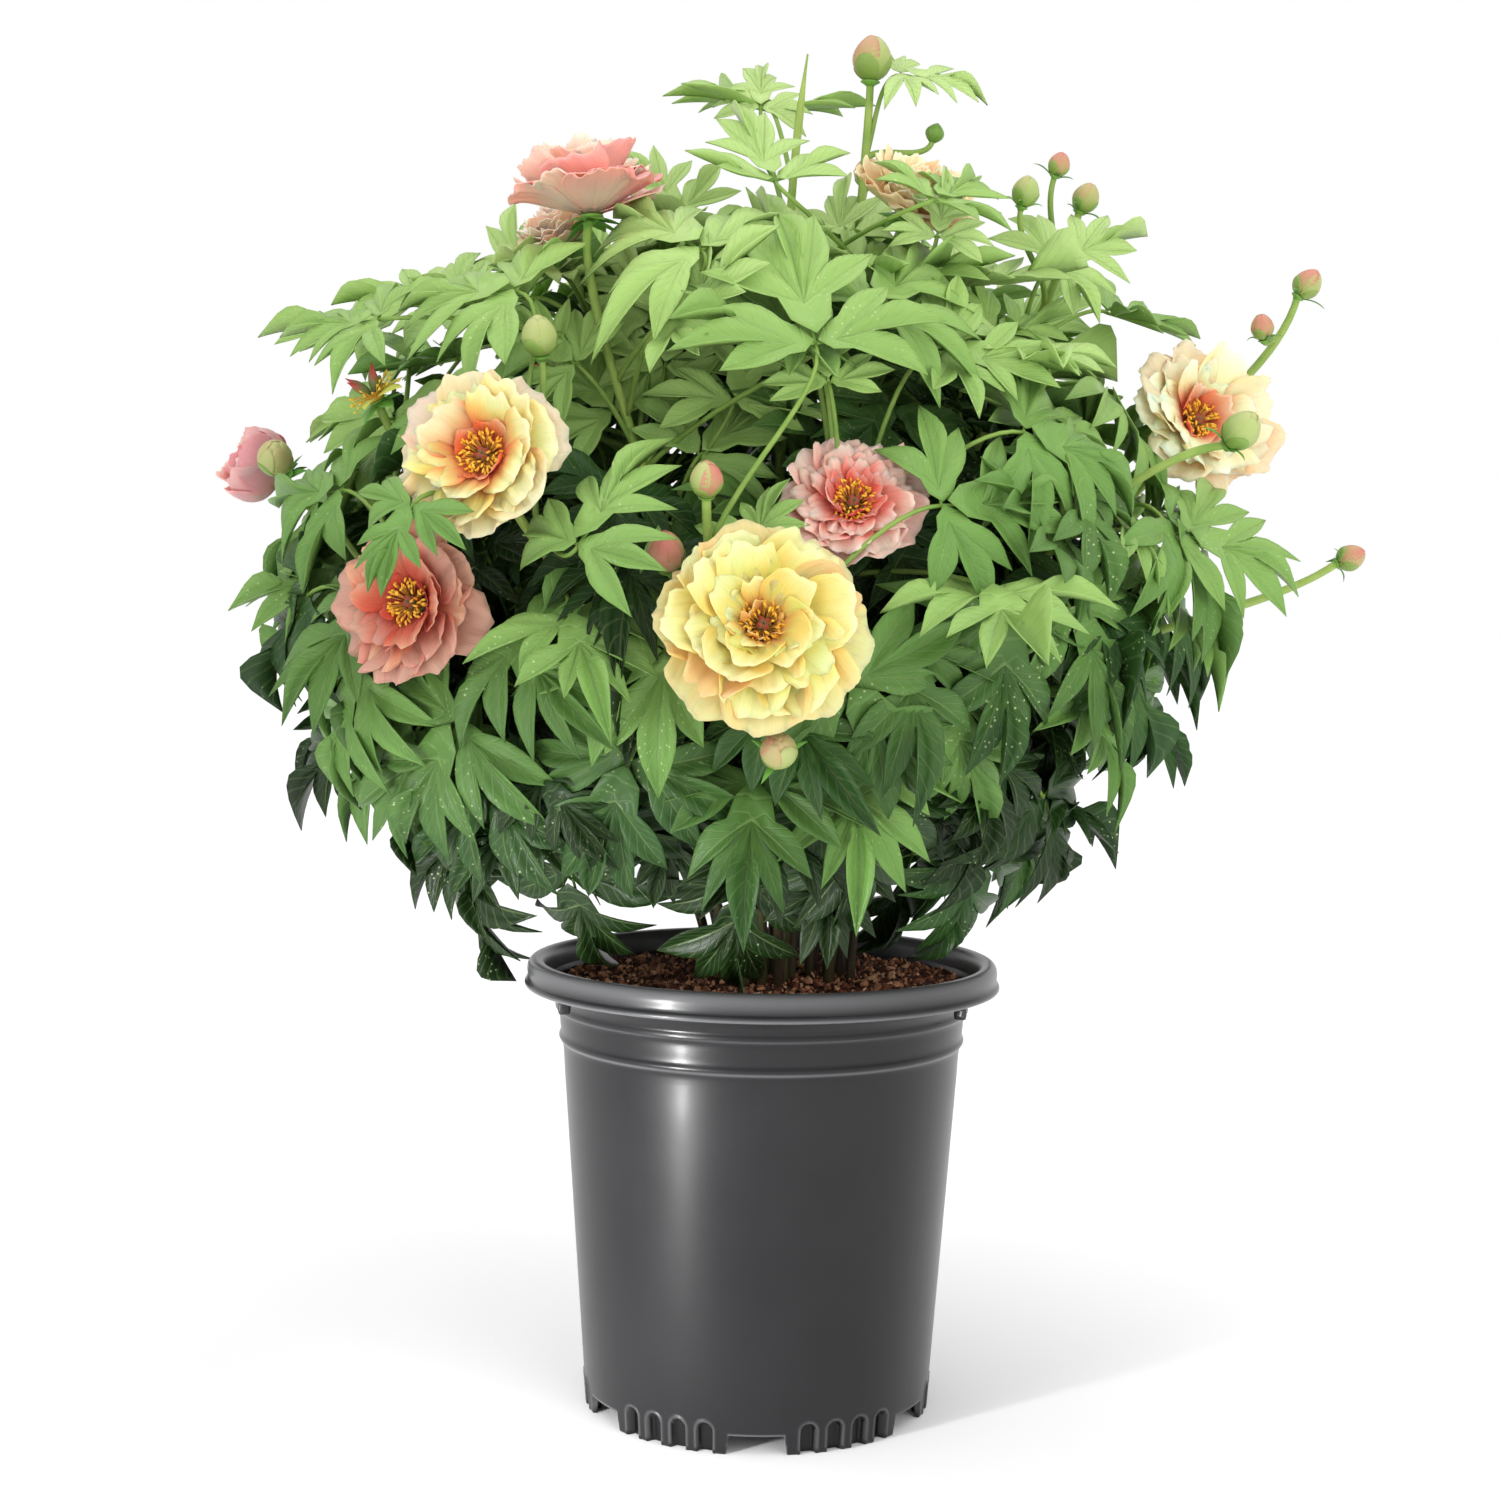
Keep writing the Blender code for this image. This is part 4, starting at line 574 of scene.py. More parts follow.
def leaf_material(settings):
    """Peony leaf blade: matt, with a paler midrib, side veins every few millimetres that lift the surface
    between them, light green above and dark green with pale specks below. The change with height is partly
    how old the leaves are, and partly painted light on the top of the bush and painted shade low on it."""
    material, tree, shader = new_material("peony_leaf_blade", IOR=1.42, Specular_IOR_Level=0.36)
    place = node(tree, "ShaderNodeTexCoord")
    tone = node(tree, "ShaderNodeAttribute", attribute_name="tone")
    flat = node(tree, "ShaderNodeSeparateXYZ", links={"Vector": (place, "UV")})
    high = node(tree, "ShaderNodeSeparateXYZ", links={"Vector": (place, "Object")})
    cloud = node(tree, "ShaderNodeTexNoise", {"Scale": 45.0, "Detail": 3.0}, {"Vector": (place, "Object")})
    # Painted light and shade: leaves grow lighter with height, partly for how old they are and partly for
    # the light from above.
    age_and_shade = node(
        tree, "ShaderNodeMapRange", {"From Min": 0.415, "From Max": 0.70}, {"Value": (high, "Z")},
        clamp=False,
    )
    spread = node(tree, "ShaderNodeMath", {1: 0.74}, {0: (tone, "Fac")}, operation="MULTIPLY")
    blotch = node(tree, "ShaderNodeMath", {1: 0.22}, {0: (cloud, "Fac")}, operation="MULTIPLY")
    sum_a = node(tree, "ShaderNodeMath", {}, {0: (age_and_shade, "Result"), 1: (spread, 0)}, operation="ADD")
    sum_b = node(tree, "ShaderNodeMath", {}, {0: (sum_a, 0), 1: (blotch, 0)}, operation="ADD")
    share = node(tree, "ShaderNodeMath", {1: 0.58}, {0: (sum_b, 0)}, operation="MULTIPLY")
    # The darkest stop is reached by low tones, which paint shade on the leaves inside the bush.
    green = node(
        tree, "ShaderNodeValToRGB", links={"Fac": (share, 0)},
        stops=((0.0, linear("#172c0e")), (0.20, (*settings.old_and_shaded_green, 1.0)),
               (0.46, (*settings.mid_green, 1.0)), (0.80, (*settings.young_and_lit_green, 1.0)),
               (1.0, linear("#b6d184"))),
    )
    # Distance from the midrib, 0 on it and 1 at the blade's edge.
    off = node(tree, "ShaderNodeMath", {1: 0.5}, {0: (flat, "X")}, operation="SUBTRACT")
    across = node(tree, "ShaderNodeMath", {}, {0: (off, 0)}, operation="ABSOLUTE")
    rib = node(
        tree, "ShaderNodeMapRange", {"From Min": 0.0, "From Max": 0.055, "To Min": 1.0, "To Max": 0.0},
        {"Value": (across, 0)},
    )
    slant = node(tree, "ShaderNodeMath", {1: 0.55}, {0: (across, 0)}, operation="MULTIPLY")
    lean = node(tree, "ShaderNodeMath", {}, {0: (flat, "Y"), 1: (slant, 0)}, operation="SUBTRACT")
    wave = node(tree, "ShaderNodeMath", {1: 44.0}, {0: (lean, 0)}, operation="MULTIPLY")
    vein = node(tree, "ShaderNodeMath", {}, {0: (wave, 0)}, operation="COSINE")
    lines = node(
        tree, "ShaderNodeMapRange", {"From Min": 0.72, "From Max": 1.0, "To Max": 0.35},
        {"Value": (vein, 0)},
    )
    ribs = node(tree, "ShaderNodeMath", {}, {0: (rib, "Result"), 1: (lines, "Result")}, operation="MAXIMUM")
    weak = node(tree, "ShaderNodeMath", {1: 0.20}, {0: (ribs, 0)}, operation="MULTIPLY")
    veined = node(
        tree, "ShaderNodeMix", {7: linear("#b9d48c")}, {0: (weak, 0), 6: (green, "Color")},
        data_type="RGBA",
    )
    specks = node(
        tree, "ShaderNodeTexVoronoi", {"Scale": 260.0}, {"Vector": (place, "Object")}, feature="F1",
    )
    patch = node(tree, "ShaderNodeTexNoise", {"Scale": 16.0, "Detail": 2.0}, {"Vector": (place, "Object")})
    dots = node(
        tree, "ShaderNodeMapRange", {"From Min": 0.12, "From Max": 0.20, "To Min": 1.0, "To Max": 0.0},
        {"Value": (specks, "Distance")},
    )
    where = node(
        tree, "ShaderNodeMapRange", {"From Min": 0.50, "From Max": 0.66, "To Max": 0.75},
        {"Value": (patch, "Fac")},
    )
    dusted = node(
        tree, "ShaderNodeMath", {}, {0: (dots, "Result"), 1: (where, "Result")},
        operation="MULTIPLY",
    )
    speckled = node(
        tree, "ShaderNodeMix", {7: linear("#c3d39b")}, {0: (dusted, 0), 6: (veined, 2)}, data_type="RGBA",
    )
    lift = node(tree, "ShaderNodeMath", {1: -0.6}, {0: (ribs, 0)}, operation="MULTIPLY")
    relief = node(tree, "ShaderNodeMath", {}, {0: (lift, 0), 1: (cloud, "Fac")}, operation="ADD")
    bump = node(tree, "ShaderNodeBump", {"Strength": 0.7, "Distance": 0.0011}, {"Height": (relief, 0)})
    rough = node(tree, "ShaderNodeMapRange", {"To Min": 0.30, "To Max": 0.48}, {"Value": (cloud, "Fac")})
    plug(tree, shader, {
        "Base Color": (speckled, 2), "Roughness": (rough, "Result"), "Normal": (bump, "Normal"),
    })
    return material


def stem_material(settings):
    """Peony stem skin: smooth yellow-green, greener on the cups, with fine lengthwise lines, a purplish
    colouring in places, and painted shade that darkens the stems' feet to near black."""
    material, tree, shader = new_material("peony_stem_skin", Roughness=0.48, IOR=1.42)
    place = node(tree, "ShaderNodeTexCoord")
    leafy, tinge = (
        node(tree, "ShaderNodeAttribute", attribute_name=key) for key in ("leafy", "tinge")
    )
    cloud = node(tree, "ShaderNodeTexNoise", {"Scale": 60.0, "Detail": 3.0}, {"Vector": (place, "Object")})
    skin = node(
        tree, "ShaderNodeValToRGB", links={"Fac": (cloud, "Fac")},
        stops=((0.3, (*settings.stem_green, 1.0)), (0.75, linear("#a9bf62"))),
    )
    cup = node(
        tree, "ShaderNodeMix", {7: linear("#5f9a3c")}, {0: (leafy, "Fac"), 6: (skin, "Color")},
        data_type="RGBA",
    )
    # This mark mixes the skin towards dark purple-brown: a purplish colouring in places, and painted shade
    # at the stems' feet.
    purple_and_shade = node(
        tree, "ShaderNodeMix", {7: linear("#33221b")}, {0: (tinge, "Fac"), 6: (cup, 2)},
        data_type="RGBA",
    )
    lines = node(
        tree, "ShaderNodeTexWave", {"Scale": 3.2, "Distortion": 1.0}, {"Vector": (place, "UV")},
        bands_direction="X",
    )
    bump = node(tree, "ShaderNodeBump", {"Strength": 0.25, "Distance": 0.0004}, {"Height": (lines, "Fac")})
    plug(tree, shader, {"Base Color": (purple_and_shade, 2), "Normal": (bump, "Normal")})
    return material


def petal_material(name, colours):
    """Peony petal: soft and slightly see-through, with a deep flare at its base, a paler ruffled
    edge, fine veins from base to edge about 0.6 mm apart, and a blush on some petals."""
    flare, body, edge, blush = (linear(code) for code in colours)
    material, tree, shader = new_material(
        name, Roughness=0.60, IOR=1.38, Subsurface_Weight=0.45, Subsurface_Scale=0.004, Sheen_Weight=0.10,
    )
    place = node(tree, "ShaderNodeTexCoord")
    along, tone, flush, burst = (
        node(tree, "ShaderNodeAttribute", attribute_name=key) for key in ("along", "tone", "flush", "flare")
    )
    stretch = node(tree, "ShaderNodeMapping", {"Scale": (26.0, 2.0, 1.0)}, {"Vector": (place, "UV")})
    streak = node(
        tree, "ShaderNodeTexNoise", {"Scale": 1.6, "Detail": 4.0}, {"Vector": (stretch, "Vector")},
    )
    cloud = node(tree, "ShaderNodeTexNoise", {"Scale": 55.0, "Detail": 3.0}, {"Vector": (place, "Object")})
    jag = node(tree, "ShaderNodeMapRange", {"To Min": -0.09, "To Max": 0.09}, {"Value": (streak, "Fac")})
    level = node(tree, "ShaderNodeMath", {}, {0: (along, "Fac"), 1: (jag, "Result")}, operation="ADD")
    ramp = node(
        tree, "ShaderNodeValToRGB", links={"Fac": (level, 0)},
        stops=((0.30, body), (0.62, body), (1.0, edge)),
    )
    washed = node(
        tree, "ShaderNodeMix", {7: blush}, {0: (flush, "Fac"), 6: (ramp, "Color")},
        data_type="RGBA",
    )
    rough_edge = node(tree, "ShaderNodeMath", {1: 2.2}, {0: (jag, "Result")}, operation="MULTIPLY")
    spread = node(tree, "ShaderNodeMath", {}, {0: (burst, "Fac"), 1: (rough_edge, 0)}, operation="ADD")
    held = node(
        tree, "ShaderNodeMapRange", {"From Min": 0.08, "From Max": 0.95, "To Max": 0.92},
        {"Value": (spread, 0)},
    )
    flared = node(
        tree, "ShaderNodeMix", {7: flare}, {0: (held, "Result"), 6: (washed, 2)}, data_type="RGBA",
    )
    shade = node(tree, "ShaderNodeMapRange", {"To Min": 0.94, "To Max": 1.06}, {"Value": (cloud, "Fac")})
    depth = node(tree, "ShaderNodeMapRange", {"To Min": 0.94, "To Max": 1.04}, {"Value": (tone, "Fac")})
    both = node(
        tree, "ShaderNodeMath", {}, {0: (shade, "Result"), 1: (depth, "Result")},
        operation="MULTIPLY",
    )
    tinted = node(
        tree, "ShaderNodeMix", {0: 1.0}, {6: (flared, 2), 7: (both, 0)}, data_type="RGBA",
        blend_type="MULTIPLY",
    )
    bump = node(tree, "ShaderNodeBump", {"Strength": 0.60, "Distance": 0.0009}, {"Height": (streak, "Fac")})
    plug(tree, shader, {"Base Color": (tinted, 2), "Normal": (bump, "Normal")})
    return material


def heart_material():
    """Heart of a peony: gold powdery anthers on yellow threads, and downy green carpels with red
    tips, picked by the mark that each part of the tuft carries."""
    material, tree, shader = new_material("peony_stamens_and_carpels", Roughness=0.75)
    place = node(tree, "ShaderNodeTexCoord")
    part = node(tree, "ShaderNodeAttribute", attribute_name="along")
    dust = node(tree, "ShaderNodeTexNoise", {"Scale": 900.0, "Detail": 2.0}, {"Vector": (place, "Object")})
    colour = node(
        tree, "ShaderNodeValToRGB", links={"Fac": (part, "Fac")},
        stops=((0.0, linear("#d4602e")), (0.12, linear("#ccd25c")), (0.18, linear("#ecb44c")),
               (0.30, linear("#f6ce44")), (0.48, linear("#eea82e")), (0.56, linear("#4f5c38")),
               (0.80, linear("#75804e")), (0.92, linear("#b04a44")), (1.0, linear("#c23a38"))),
    )
    shade = node(tree, "ShaderNodeMapRange", {"To Min": 0.75, "To Max": 1.2}, {"Value": (dust, "Fac")})
    mixed = node(
        tree, "ShaderNodeMix", {0: 1.0}, {6: (colour, "Color"), 7: (shade, "Result")}, data_type="RGBA",
        blend_type="MULTIPLY",
    )
    bump = node(tree, "ShaderNodeBump", {"Strength": 0.5, "Distance": 0.0004}, {"Height": (dust, "Fac")})
    plug(tree, shader, {"Base Color": (mixed, 2), "Normal": (bump, "Normal")})
    return material


def bud_material():
    """Closed peony bud: waxy wrapped petals, cream-green with a pink to red-brown flush that is
    strongest at the top and at the petals' edges."""
    material, tree, shader = new_material("peony_bud_skin", Roughness=0.42, IOR=1.42)
    place = node(tree, "ShaderNodeTexCoord")
    along, flush = (
        node(tree, "ShaderNodeAttribute", attribute_name=key) for key in ("along", "flush")
    )
    cloud = node(tree, "ShaderNodeTexNoise", {"Scale": 120.0, "Detail": 3.0}, {"Vector": (place, "Object")})
    body = node(
        tree, "ShaderNodeValToRGB", links={"Fac": (along, "Fac")},
        stops=((0.0, linear("#7f9f4a")), (0.5, linear("#9fb468")), (1.0, linear("#b6bf7e"))),
    )
    rise = node(tree, "ShaderNodeMapRange", {"To Min": 0.35, "To Max": 1.15}, {"Value": (along, "Fac")})
    strength = node(
        tree, "ShaderNodeMath", {}, {0: (flush, "Fac"), 1: (rise, "Result")}, operation="MULTIPLY",
    )
    blot = node(tree, "ShaderNodeMapRange", {"To Min": 0.6, "To Max": 1.3}, {"Value": (cloud, "Fac")})
    amount = node(
        tree, "ShaderNodeMath", {}, {0: (strength, 0), 1: (blot, "Result")}, operation="MULTIPLY",
        use_clamp=True,
    )
    mixed = node(
        tree, "ShaderNodeMix", {7: linear("#c9746c")}, {0: (amount, 0), 6: (body, "Color")},
        data_type="RGBA",
    )
    bump = node(tree, "ShaderNodeBump", {"Strength": 0.2, "Distance": 0.0005}, {"Height": (cloud, "Fac")})
    plug(tree, shader, {"Base Color": (mixed, 2), "Normal": (bump, "Normal")})
    return material


# Pot and mix

def rounded(corners, rounds):
    """A profile with its corners cut to a quarter of each side, as many times as asked."""
    line = np.asarray(corners, float)
    for _ in range(rounds):
        near, far = 0.75 * line[:-1] + 0.25 * line[1:], 0.25 * line[:-1] + 0.75 * line[1:]
        line = np.vstack((line[:1], np.stack((near, far), 1).reshape(-1, 2), line[-1:]))
    return line


def pot_rows():
    """(radius, height) of the pot from the middle of its floor, over the lip and down to the pad."""
    upper, lower = LIP_BOTTOM - 0.0125, LIP_BOTTOM - 0.0310
    wall_top, wall_low = lower - 0.0030, 0.030
    hollow = FOOT_RADIUS - 1.4 * WALL
    inside = [
        (FOOT_RADIUS - WALL + 0.0010, STEP_TOP), (BODY_RADIUS - WALL, wall_top),
        (COLLAR_RADIUS - 0.0012 - WALL, upper),
    ]
    lip = rounded(
        [(RIM_RADIUS - 0.0135, LIP_BOTTOM + 0.003), (RIM_RADIUS - 0.0118, POT_HEIGHT - 0.0016),
         (RIM_RADIUS - 0.0072, POT_HEIGHT + 0.0002), (RIM_RADIUS - 0.0030, POT_HEIGHT - 0.0008),
         (RIM_RADIUS - 0.0012, POT_HEIGHT - 0.0050), (RIM_RADIUS - 0.0020, LIP_BOTTOM + 0.0045),
         (RIM_RADIUS - 0.0002, LIP_BOTTOM + 0.0028), (RIM_RADIUS + 0.0001, LIP_BOTTOM + 0.0004),
         (RIM_RADIUS - 0.0018, LIP_BOTTOM - 0.0006), (RIM_RADIUS - 0.0125, LIP_BOTTOM - 0.0015)], 2,
    )
    collar = rounded(
        [(RIM_RADIUS - 0.0125, LIP_BOTTOM - 0.0015), (COLLAR_RADIUS + 0.0002, LIP_BOTTOM - 0.0085),
         (COLLAR_RADIUS + 0.0012, upper + 0.0010), (COLLAR_RADIUS + 0.0010, upper - 0.0010),
         (COLLAR_RADIUS - 0.0014, upper - 0.0024), (COLLAR_RADIUS - 0.0018, upper - 0.0090),
         (BODY_RADIUS + 0.0012, lower + 0.0034), (BODY_RADIUS + 0.0024, lower + 0.0014),
         (BODY_RADIUS + 0.0022, lower - 0.0004), (BODY_RADIUS, wall_top),
         (BODY_RADIUS - 0.0006, lower - 0.0090)], 2,
    )
    slope = (BODY_RADIUS - FOOT_RADIUS) / wall_top
    body = [(FOOT_RADIUS + slope * z, z) for z in np.linspace(lower - 0.020, wall_low, 10)]
    foot = [(FOOT_RADIUS + slope * z, z) for z in np.linspace(wall_low - 0.001, 0.0008, 30)]
    edge = [(FOOT_RADIUS - 0.0004, 0.0), (hollow + 0.0004, 0.0), (hollow, 0.0008)]
    under = [(hollow, z) for z in np.linspace(0.0020, FLOOR_BOTTOM, 10)]
    pad = [(PAD_RADIUS + 0.0055, FLOOR_BOTTOM), (PAD_RADIUS, 0.0), (0.0, 0.0)]
    start = [(0.0, WALL), (PAD_RADIUS - 0.001, WALL), (PAD_RADIUS + 0.004, FLOOR_BOTTOM + WALL),
             (FOOT_RADIUS - 0.012, FLOOR_BOTTOM + WALL), (FOOT_RADIUS - 0.0085, STEP_TOP)]
    parts = (start, inside, lip, collar[1:], body, foot, edge, under, pad)
    kinds = np.concatenate([np.full(len(part), k) for k, part in enumerate(parts)])
    return np.vstack([np.asarray(part) for part in parts]), kinds


def pot_sheet(relief):
    """Turned pot: (r sin a, -r cos a, z). Near the foot r loses the depth of a recess with an
    arched top where a recess is, and z is held above the drain notches."""
    rows, kinds = pot_rows()
    turn = 360 / GROUPS
    a = circle(POT_COLUMNS)[None, :]
    r, z = rows[:, :1] + 0 * a, rows[:, 1:] + 0 * a
    degrees = np.degrees(a) + 0 * r
    in_group = degrees % turn - turn / 2
    recess, brim = np.zeros_like(r), np.zeros_like(r)
    for middle in RECESSES:
        side = np.radians(in_group - middle) * FOOT_RADIUS
        off = np.hypot(side, np.maximum(0.0, z - ARCH_HEIGHT))
        recess = np.maximum(recess, smooth((ARCH_RADIUS - off) / ARCH_EDGE))
        brim = np.maximum(brim, np.exp(-((off - BRIM_RADIUS) / BRIM_WIDTH) ** 2))
    # The profile's stretches are numbered as pot_rows joins them: 2 is the lip, 3 the collar, 4 to 7
    # the wall, the foot, its edge and the side under it.
    outer = np.isin(kinds, (4, 5, 6))[:, None]
    low = np.isin(kinds, (5, 6, 7))[:, None]
    r = r + outer * brim * BRIM_HEIGHT - low * recess * relief
    from_notch = np.abs((degrees + turn / 2) % turn - turn / 2)
    notch = NOTCH_HEIGHT * smooth((math.degrees(NOTCH_WIDTH / 2 / FOOT_RADIUS) - from_notch) / 0.9 + 0.5)
    z = np.where(low, np.maximum(z, notch * (z < NOTCH_HEIGHT)), z)
    edge = outer * np.isin(kinds, (5, 6))[:, None] * (notch > 0.004) * (z < notch + 0.0012)
    # Painted highlight on the recesses' brims, the notches' edges, and in bands on the lip and the ridges.
    rub = 0.22 * brim * outer * (z > 0.002) + 0.30 * edge
    for level, height, share in PAINTED_HIGHLIGHTS:
        rub = rub + share * np.exp(-((z - level) / height) ** 2) * np.isin(kinds, (2, 3))[:, None]
    points = np.stack((r * np.sin(a), -r * np.cos(a), z), -1)
    # The mark deep paints shade in the recesses round the foot.
    return facing_out(sheet_of(
        points, grid(len(rows), POT_COLUMNS, True), rub=np.clip(rub, 0, 1).ravel(),
        deep=(low * recess).ravel(),
    ))


def lug_sheet(bearing):
    """Small moulded lug under the lip: a closed pillow, |x|^6 + |y|^6 + |z|^6 = 1 on its half sizes."""
    u, v = np.meshgrid(np.linspace(-np.pi / 2, np.pi / 2, 9), circle(16), indexing="ij")
    ball = np.stack((np.cos(u) * np.cos(v), np.cos(u) * np.sin(v), np.sin(u)), -1)
    ball /= (np.abs(ball) ** 6).sum(-1, keepdims=True) ** (1 / 6)
    local = ball * (0.0016, 0.0037, 0.0047) + (0.0, -(COLLAR_RADIUS + 0.0085), LIP_BOTTOM - 0.0045)
    points = np.moveaxis(turned(np.moveaxis(local, -1, 0), bearing), 0, -1)
    # The lug carries a faint painted highlight.
    return facing_out(sheet_of(points, grid(9, 16, True), rub=0.1, deep=0.0))


def mix_height(x, y):
    """Height of the mix: a low dome with lumps of two sizes."""
    dome = 0.003 * (1 - np.hypot(x, y) / 0.12)
    lumps = 0.0013 * (np.sin(310 * x + 1.3) * np.cos(270 * y) + np.sin(190 * (x - y)))
    return MIX_TOP + dome + lumps + 0.0006 * np.sin(900 * x + 300 * y) * np.cos(800 * y)


def mix_sheet():
    """Body of the mix: a lumpy top that ends at the wall, and a plain side down to the floor."""
    columns = 120
    a = circle(columns)[None, :]
    top = np.linspace(0.0, RIM_RADIUS - 0.0180, 28)[:, None]
    x, y = top * np.sin(a), -top * np.cos(a)
    points = [np.stack((x, y, mix_height(x, y)), -1)]
    sides = (
        (COLLAR_RADIUS - 0.0012 - WALL - GAP, LIP_BOTTOM - 0.0125),
        (BODY_RADIUS - WALL - GAP, LIP_BOTTOM - 0.0340),
        (FOOT_RADIUS - WALL + 0.0010 - GAP, STEP_TOP + GAP), (FOOT_RADIUS - 0.0085, STEP_TOP + GAP),
        (FOOT_RADIUS - 0.0125, FLOOR_BOTTOM + WALL + GAP), (0.0, FLOOR_BOTTOM + WALL + GAP),
    )
    for r, z in sides:
        points.append(np.stack((r * np.sin(a), -r * np.cos(a), z + 0 * a), -1))
    points = np.concatenate(points)
    # The body's low tone makes it dark brown: partly the mix's own colour, partly painted shade for the
    # gaps between the bits.
    return facing_out(sheet_of(points, grid(len(points), columns, True), tone=0.12))


def bits_sheet(count, size, seed):
    """Bark bits: icosahedra stretched by random shares, turned at random and strewn on the mix."""
    rng = np.random.default_rng(seed)
    g = (1 + 5**0.5) / 2
    base = units(np.array([(-1, g, 0), (1, g, 0), (-1, -g, 0), (1, -g, 0), (0, -1, g), (0, 1, g),
                           (0, -1, -g), (0, 1, -g), (g, 0, -1), (g, 0, 1), (-g, 0, -1), (-g, 0, 1)], float))
    faces = np.array([(0, 11, 5), (0, 5, 1), (0, 1, 7), (0, 7, 10), (0, 10, 11), (1, 5, 9), (5, 11, 4),
                      (11, 10, 2), (10, 7, 6), (7, 1, 8), (3, 9, 4), (3, 4, 2), (3, 2, 6), (3, 6, 8),
                      (3, 8, 9), (4, 9, 5), (2, 4, 11), (6, 2, 10), (8, 6, 7), (9, 8, 1)])
    a, r = rng.uniform(0, 2 * np.pi, count), (RIM_RADIUS - 0.0205) * np.sqrt(rng.uniform(0, 1, count))
    x, y = r * np.cos(a), r * np.sin(a)
    sizes = size * rng.lognormal(0.0, 0.35, count)[:, None] * np.stack(
        (rng.uniform(0.8, 1.5, count), rng.uniform(0.55, 0.9, count), rng.uniform(0.35, 0.7, count)), -1
    )
    spin, _ = np.linalg.qr(rng.normal(size=(count, 3, 3)))
    spin *= np.sign(np.linalg.det(spin))[:, None, None]
    shape = base[None] * rng.uniform(0.8, 1.15, (count, 12, 1)) * sizes[:, None] / 2
    places = np.stack((x, y, mix_height(x, y) + rng.uniform(-0.0006, 0.0012, count)), -1)
    points = np.einsum("nij,nkj->nki", spin, shape) + places[:, None]
    tone = np.repeat(rng.beta(1.3, 1.8, count), 12)
    index = (faces[None] + 12 * np.arange(count)[:, None, None]).reshape(-1, 3)
    return sheet_of(points, index, tone=tone)


# Stems

def seat_of(centre, facing, back):
    """Where a flower sits: behind the centre of its face."""
    return np.array(centre) * MM - unit(facing) * back


def tip_seats():
    """Where the stem ends for each bloom, bud and tip, and the way it points there."""
    seats = {}
    for name, (centre, facing, size, *_) in BLOOMS.items():
        seats[name] = (seat_of(centre, facing, BLOOM_BACK * size * MM), unit(facing))
    for name, (centre, facing, size, *_) in {**BUDS, **GREEN_TIPS}.items():
        seats[name] = (seat_of(centre, facing, 0.5 * BUD_TALL * size * MM), unit(facing))
    centre, facing, _ = SPENT_BLOOM
    seats["spent_bloom"] = (seat_of(centre, facing, SPENT_BACK), unit(facing))
    seats["stub"] = (np.array(STUB[0]) * MM, unit(STUB[1]))
    return seats


def root_places(seats):
    """A small copy of the tops' plan, spread so that the stems stand apart."""
    tops = np.array([seats[row[0]][0][:2] for row in STEMS.values()])
    roots = CROWN + (tops - BUSH_CENTRE[:2]) * CROWN_SHARE
    for _ in range(200):
        for i in range(len(roots)):
            for j in range(i):
                apart = roots[i] - roots[j]
                short = ROOT_SPACING - np.linalg.norm(apart)
                if short > 0:
                    push = unit(apart + 1e-9) * short * 0.5
                    roots[i] += push
                    roots[j] -= push
    return dict(zip(STEMS, roots))


def stem_path(number, root, seat, way, count):
    """Straight up out of the mix, then over to the top, and into it along its facing."""
    _, bends, _, draw = STEMS[number]
    sway = np.random.default_rng((STEM_SEED, number, draw)).uniform(-1, 1, (2, 3)) * STEM_SWAY * draw
    foot = np.array((*root, MIX_TOP - HOLE_DEPTH + 0.003))
    neck = np.array((*root, MIX_TOP + 0.012))
    if bends:
        first, second = (np.array(bend) * MM for bend in bends)
    else:
        reach = np.linalg.norm(seat - neck)
        first = neck + np.array((0.0, 0.0, 0.34 * reach)) + 0.12 * (seat - neck)
        second = seat - unit(way + np.array((0.0, 0.0, 0.7))) * 0.24 * reach
    return np.vstack((foot, bezier(neck, first + sway[0], second + sway[1], seat, count)))


def branch_path(path, place, seat, way, count):
    """A side branch leaves the stem upwards and ends along its own facing. Its place counts from
    the stem's first seventh to its top."""
    at = (place * 6 / 7 + 1 / 7) * (len(path) - 1)
    low = int(at)
    start = path[low] + (path[low + 1] - path[low]) * (at - low)
    reach = np.linalg.norm(seat - start)
    along = unit(path[low + 1] - path[low])
    return bezier(start, start + along * 0.35 * reach, seat - way * 0.35 * reach, seat, count)


def nearest_on(path, target):
    """The point of a path nearest to the target, kept off the path's two ends."""
    inner = path[len(path) // 4: -len(path) // 10]
    return inner[np.argmin(np.linalg.norm(inner - target, axis=1))]


def cup_sheet(seat, way, radius, height):
    """Green cup under a flower: a turned profile from the stalk out to its rim."""
    profile = np.array([
        (0.0, -height), (BRANCH_TOP_RADIUS, -height), (0.55 * radius, -0.55 * height),
        (radius, -0.12 * height), (0.96 * radius, 0.0), (0.0, 0.0),
    ])
    across, up, axis = frame_of(way)
    a = circle(16)
    ring = np.cos(a)[:, None] * across + np.sin(a)[:, None] * up
    points = seat + profile[:, None, :1] * ring[None] + profile[:, None, 1:] * axis
    return facing_out(sheet_of(points, grid(len(profile), 16, True), leafy=0.7, tinge=0.0))


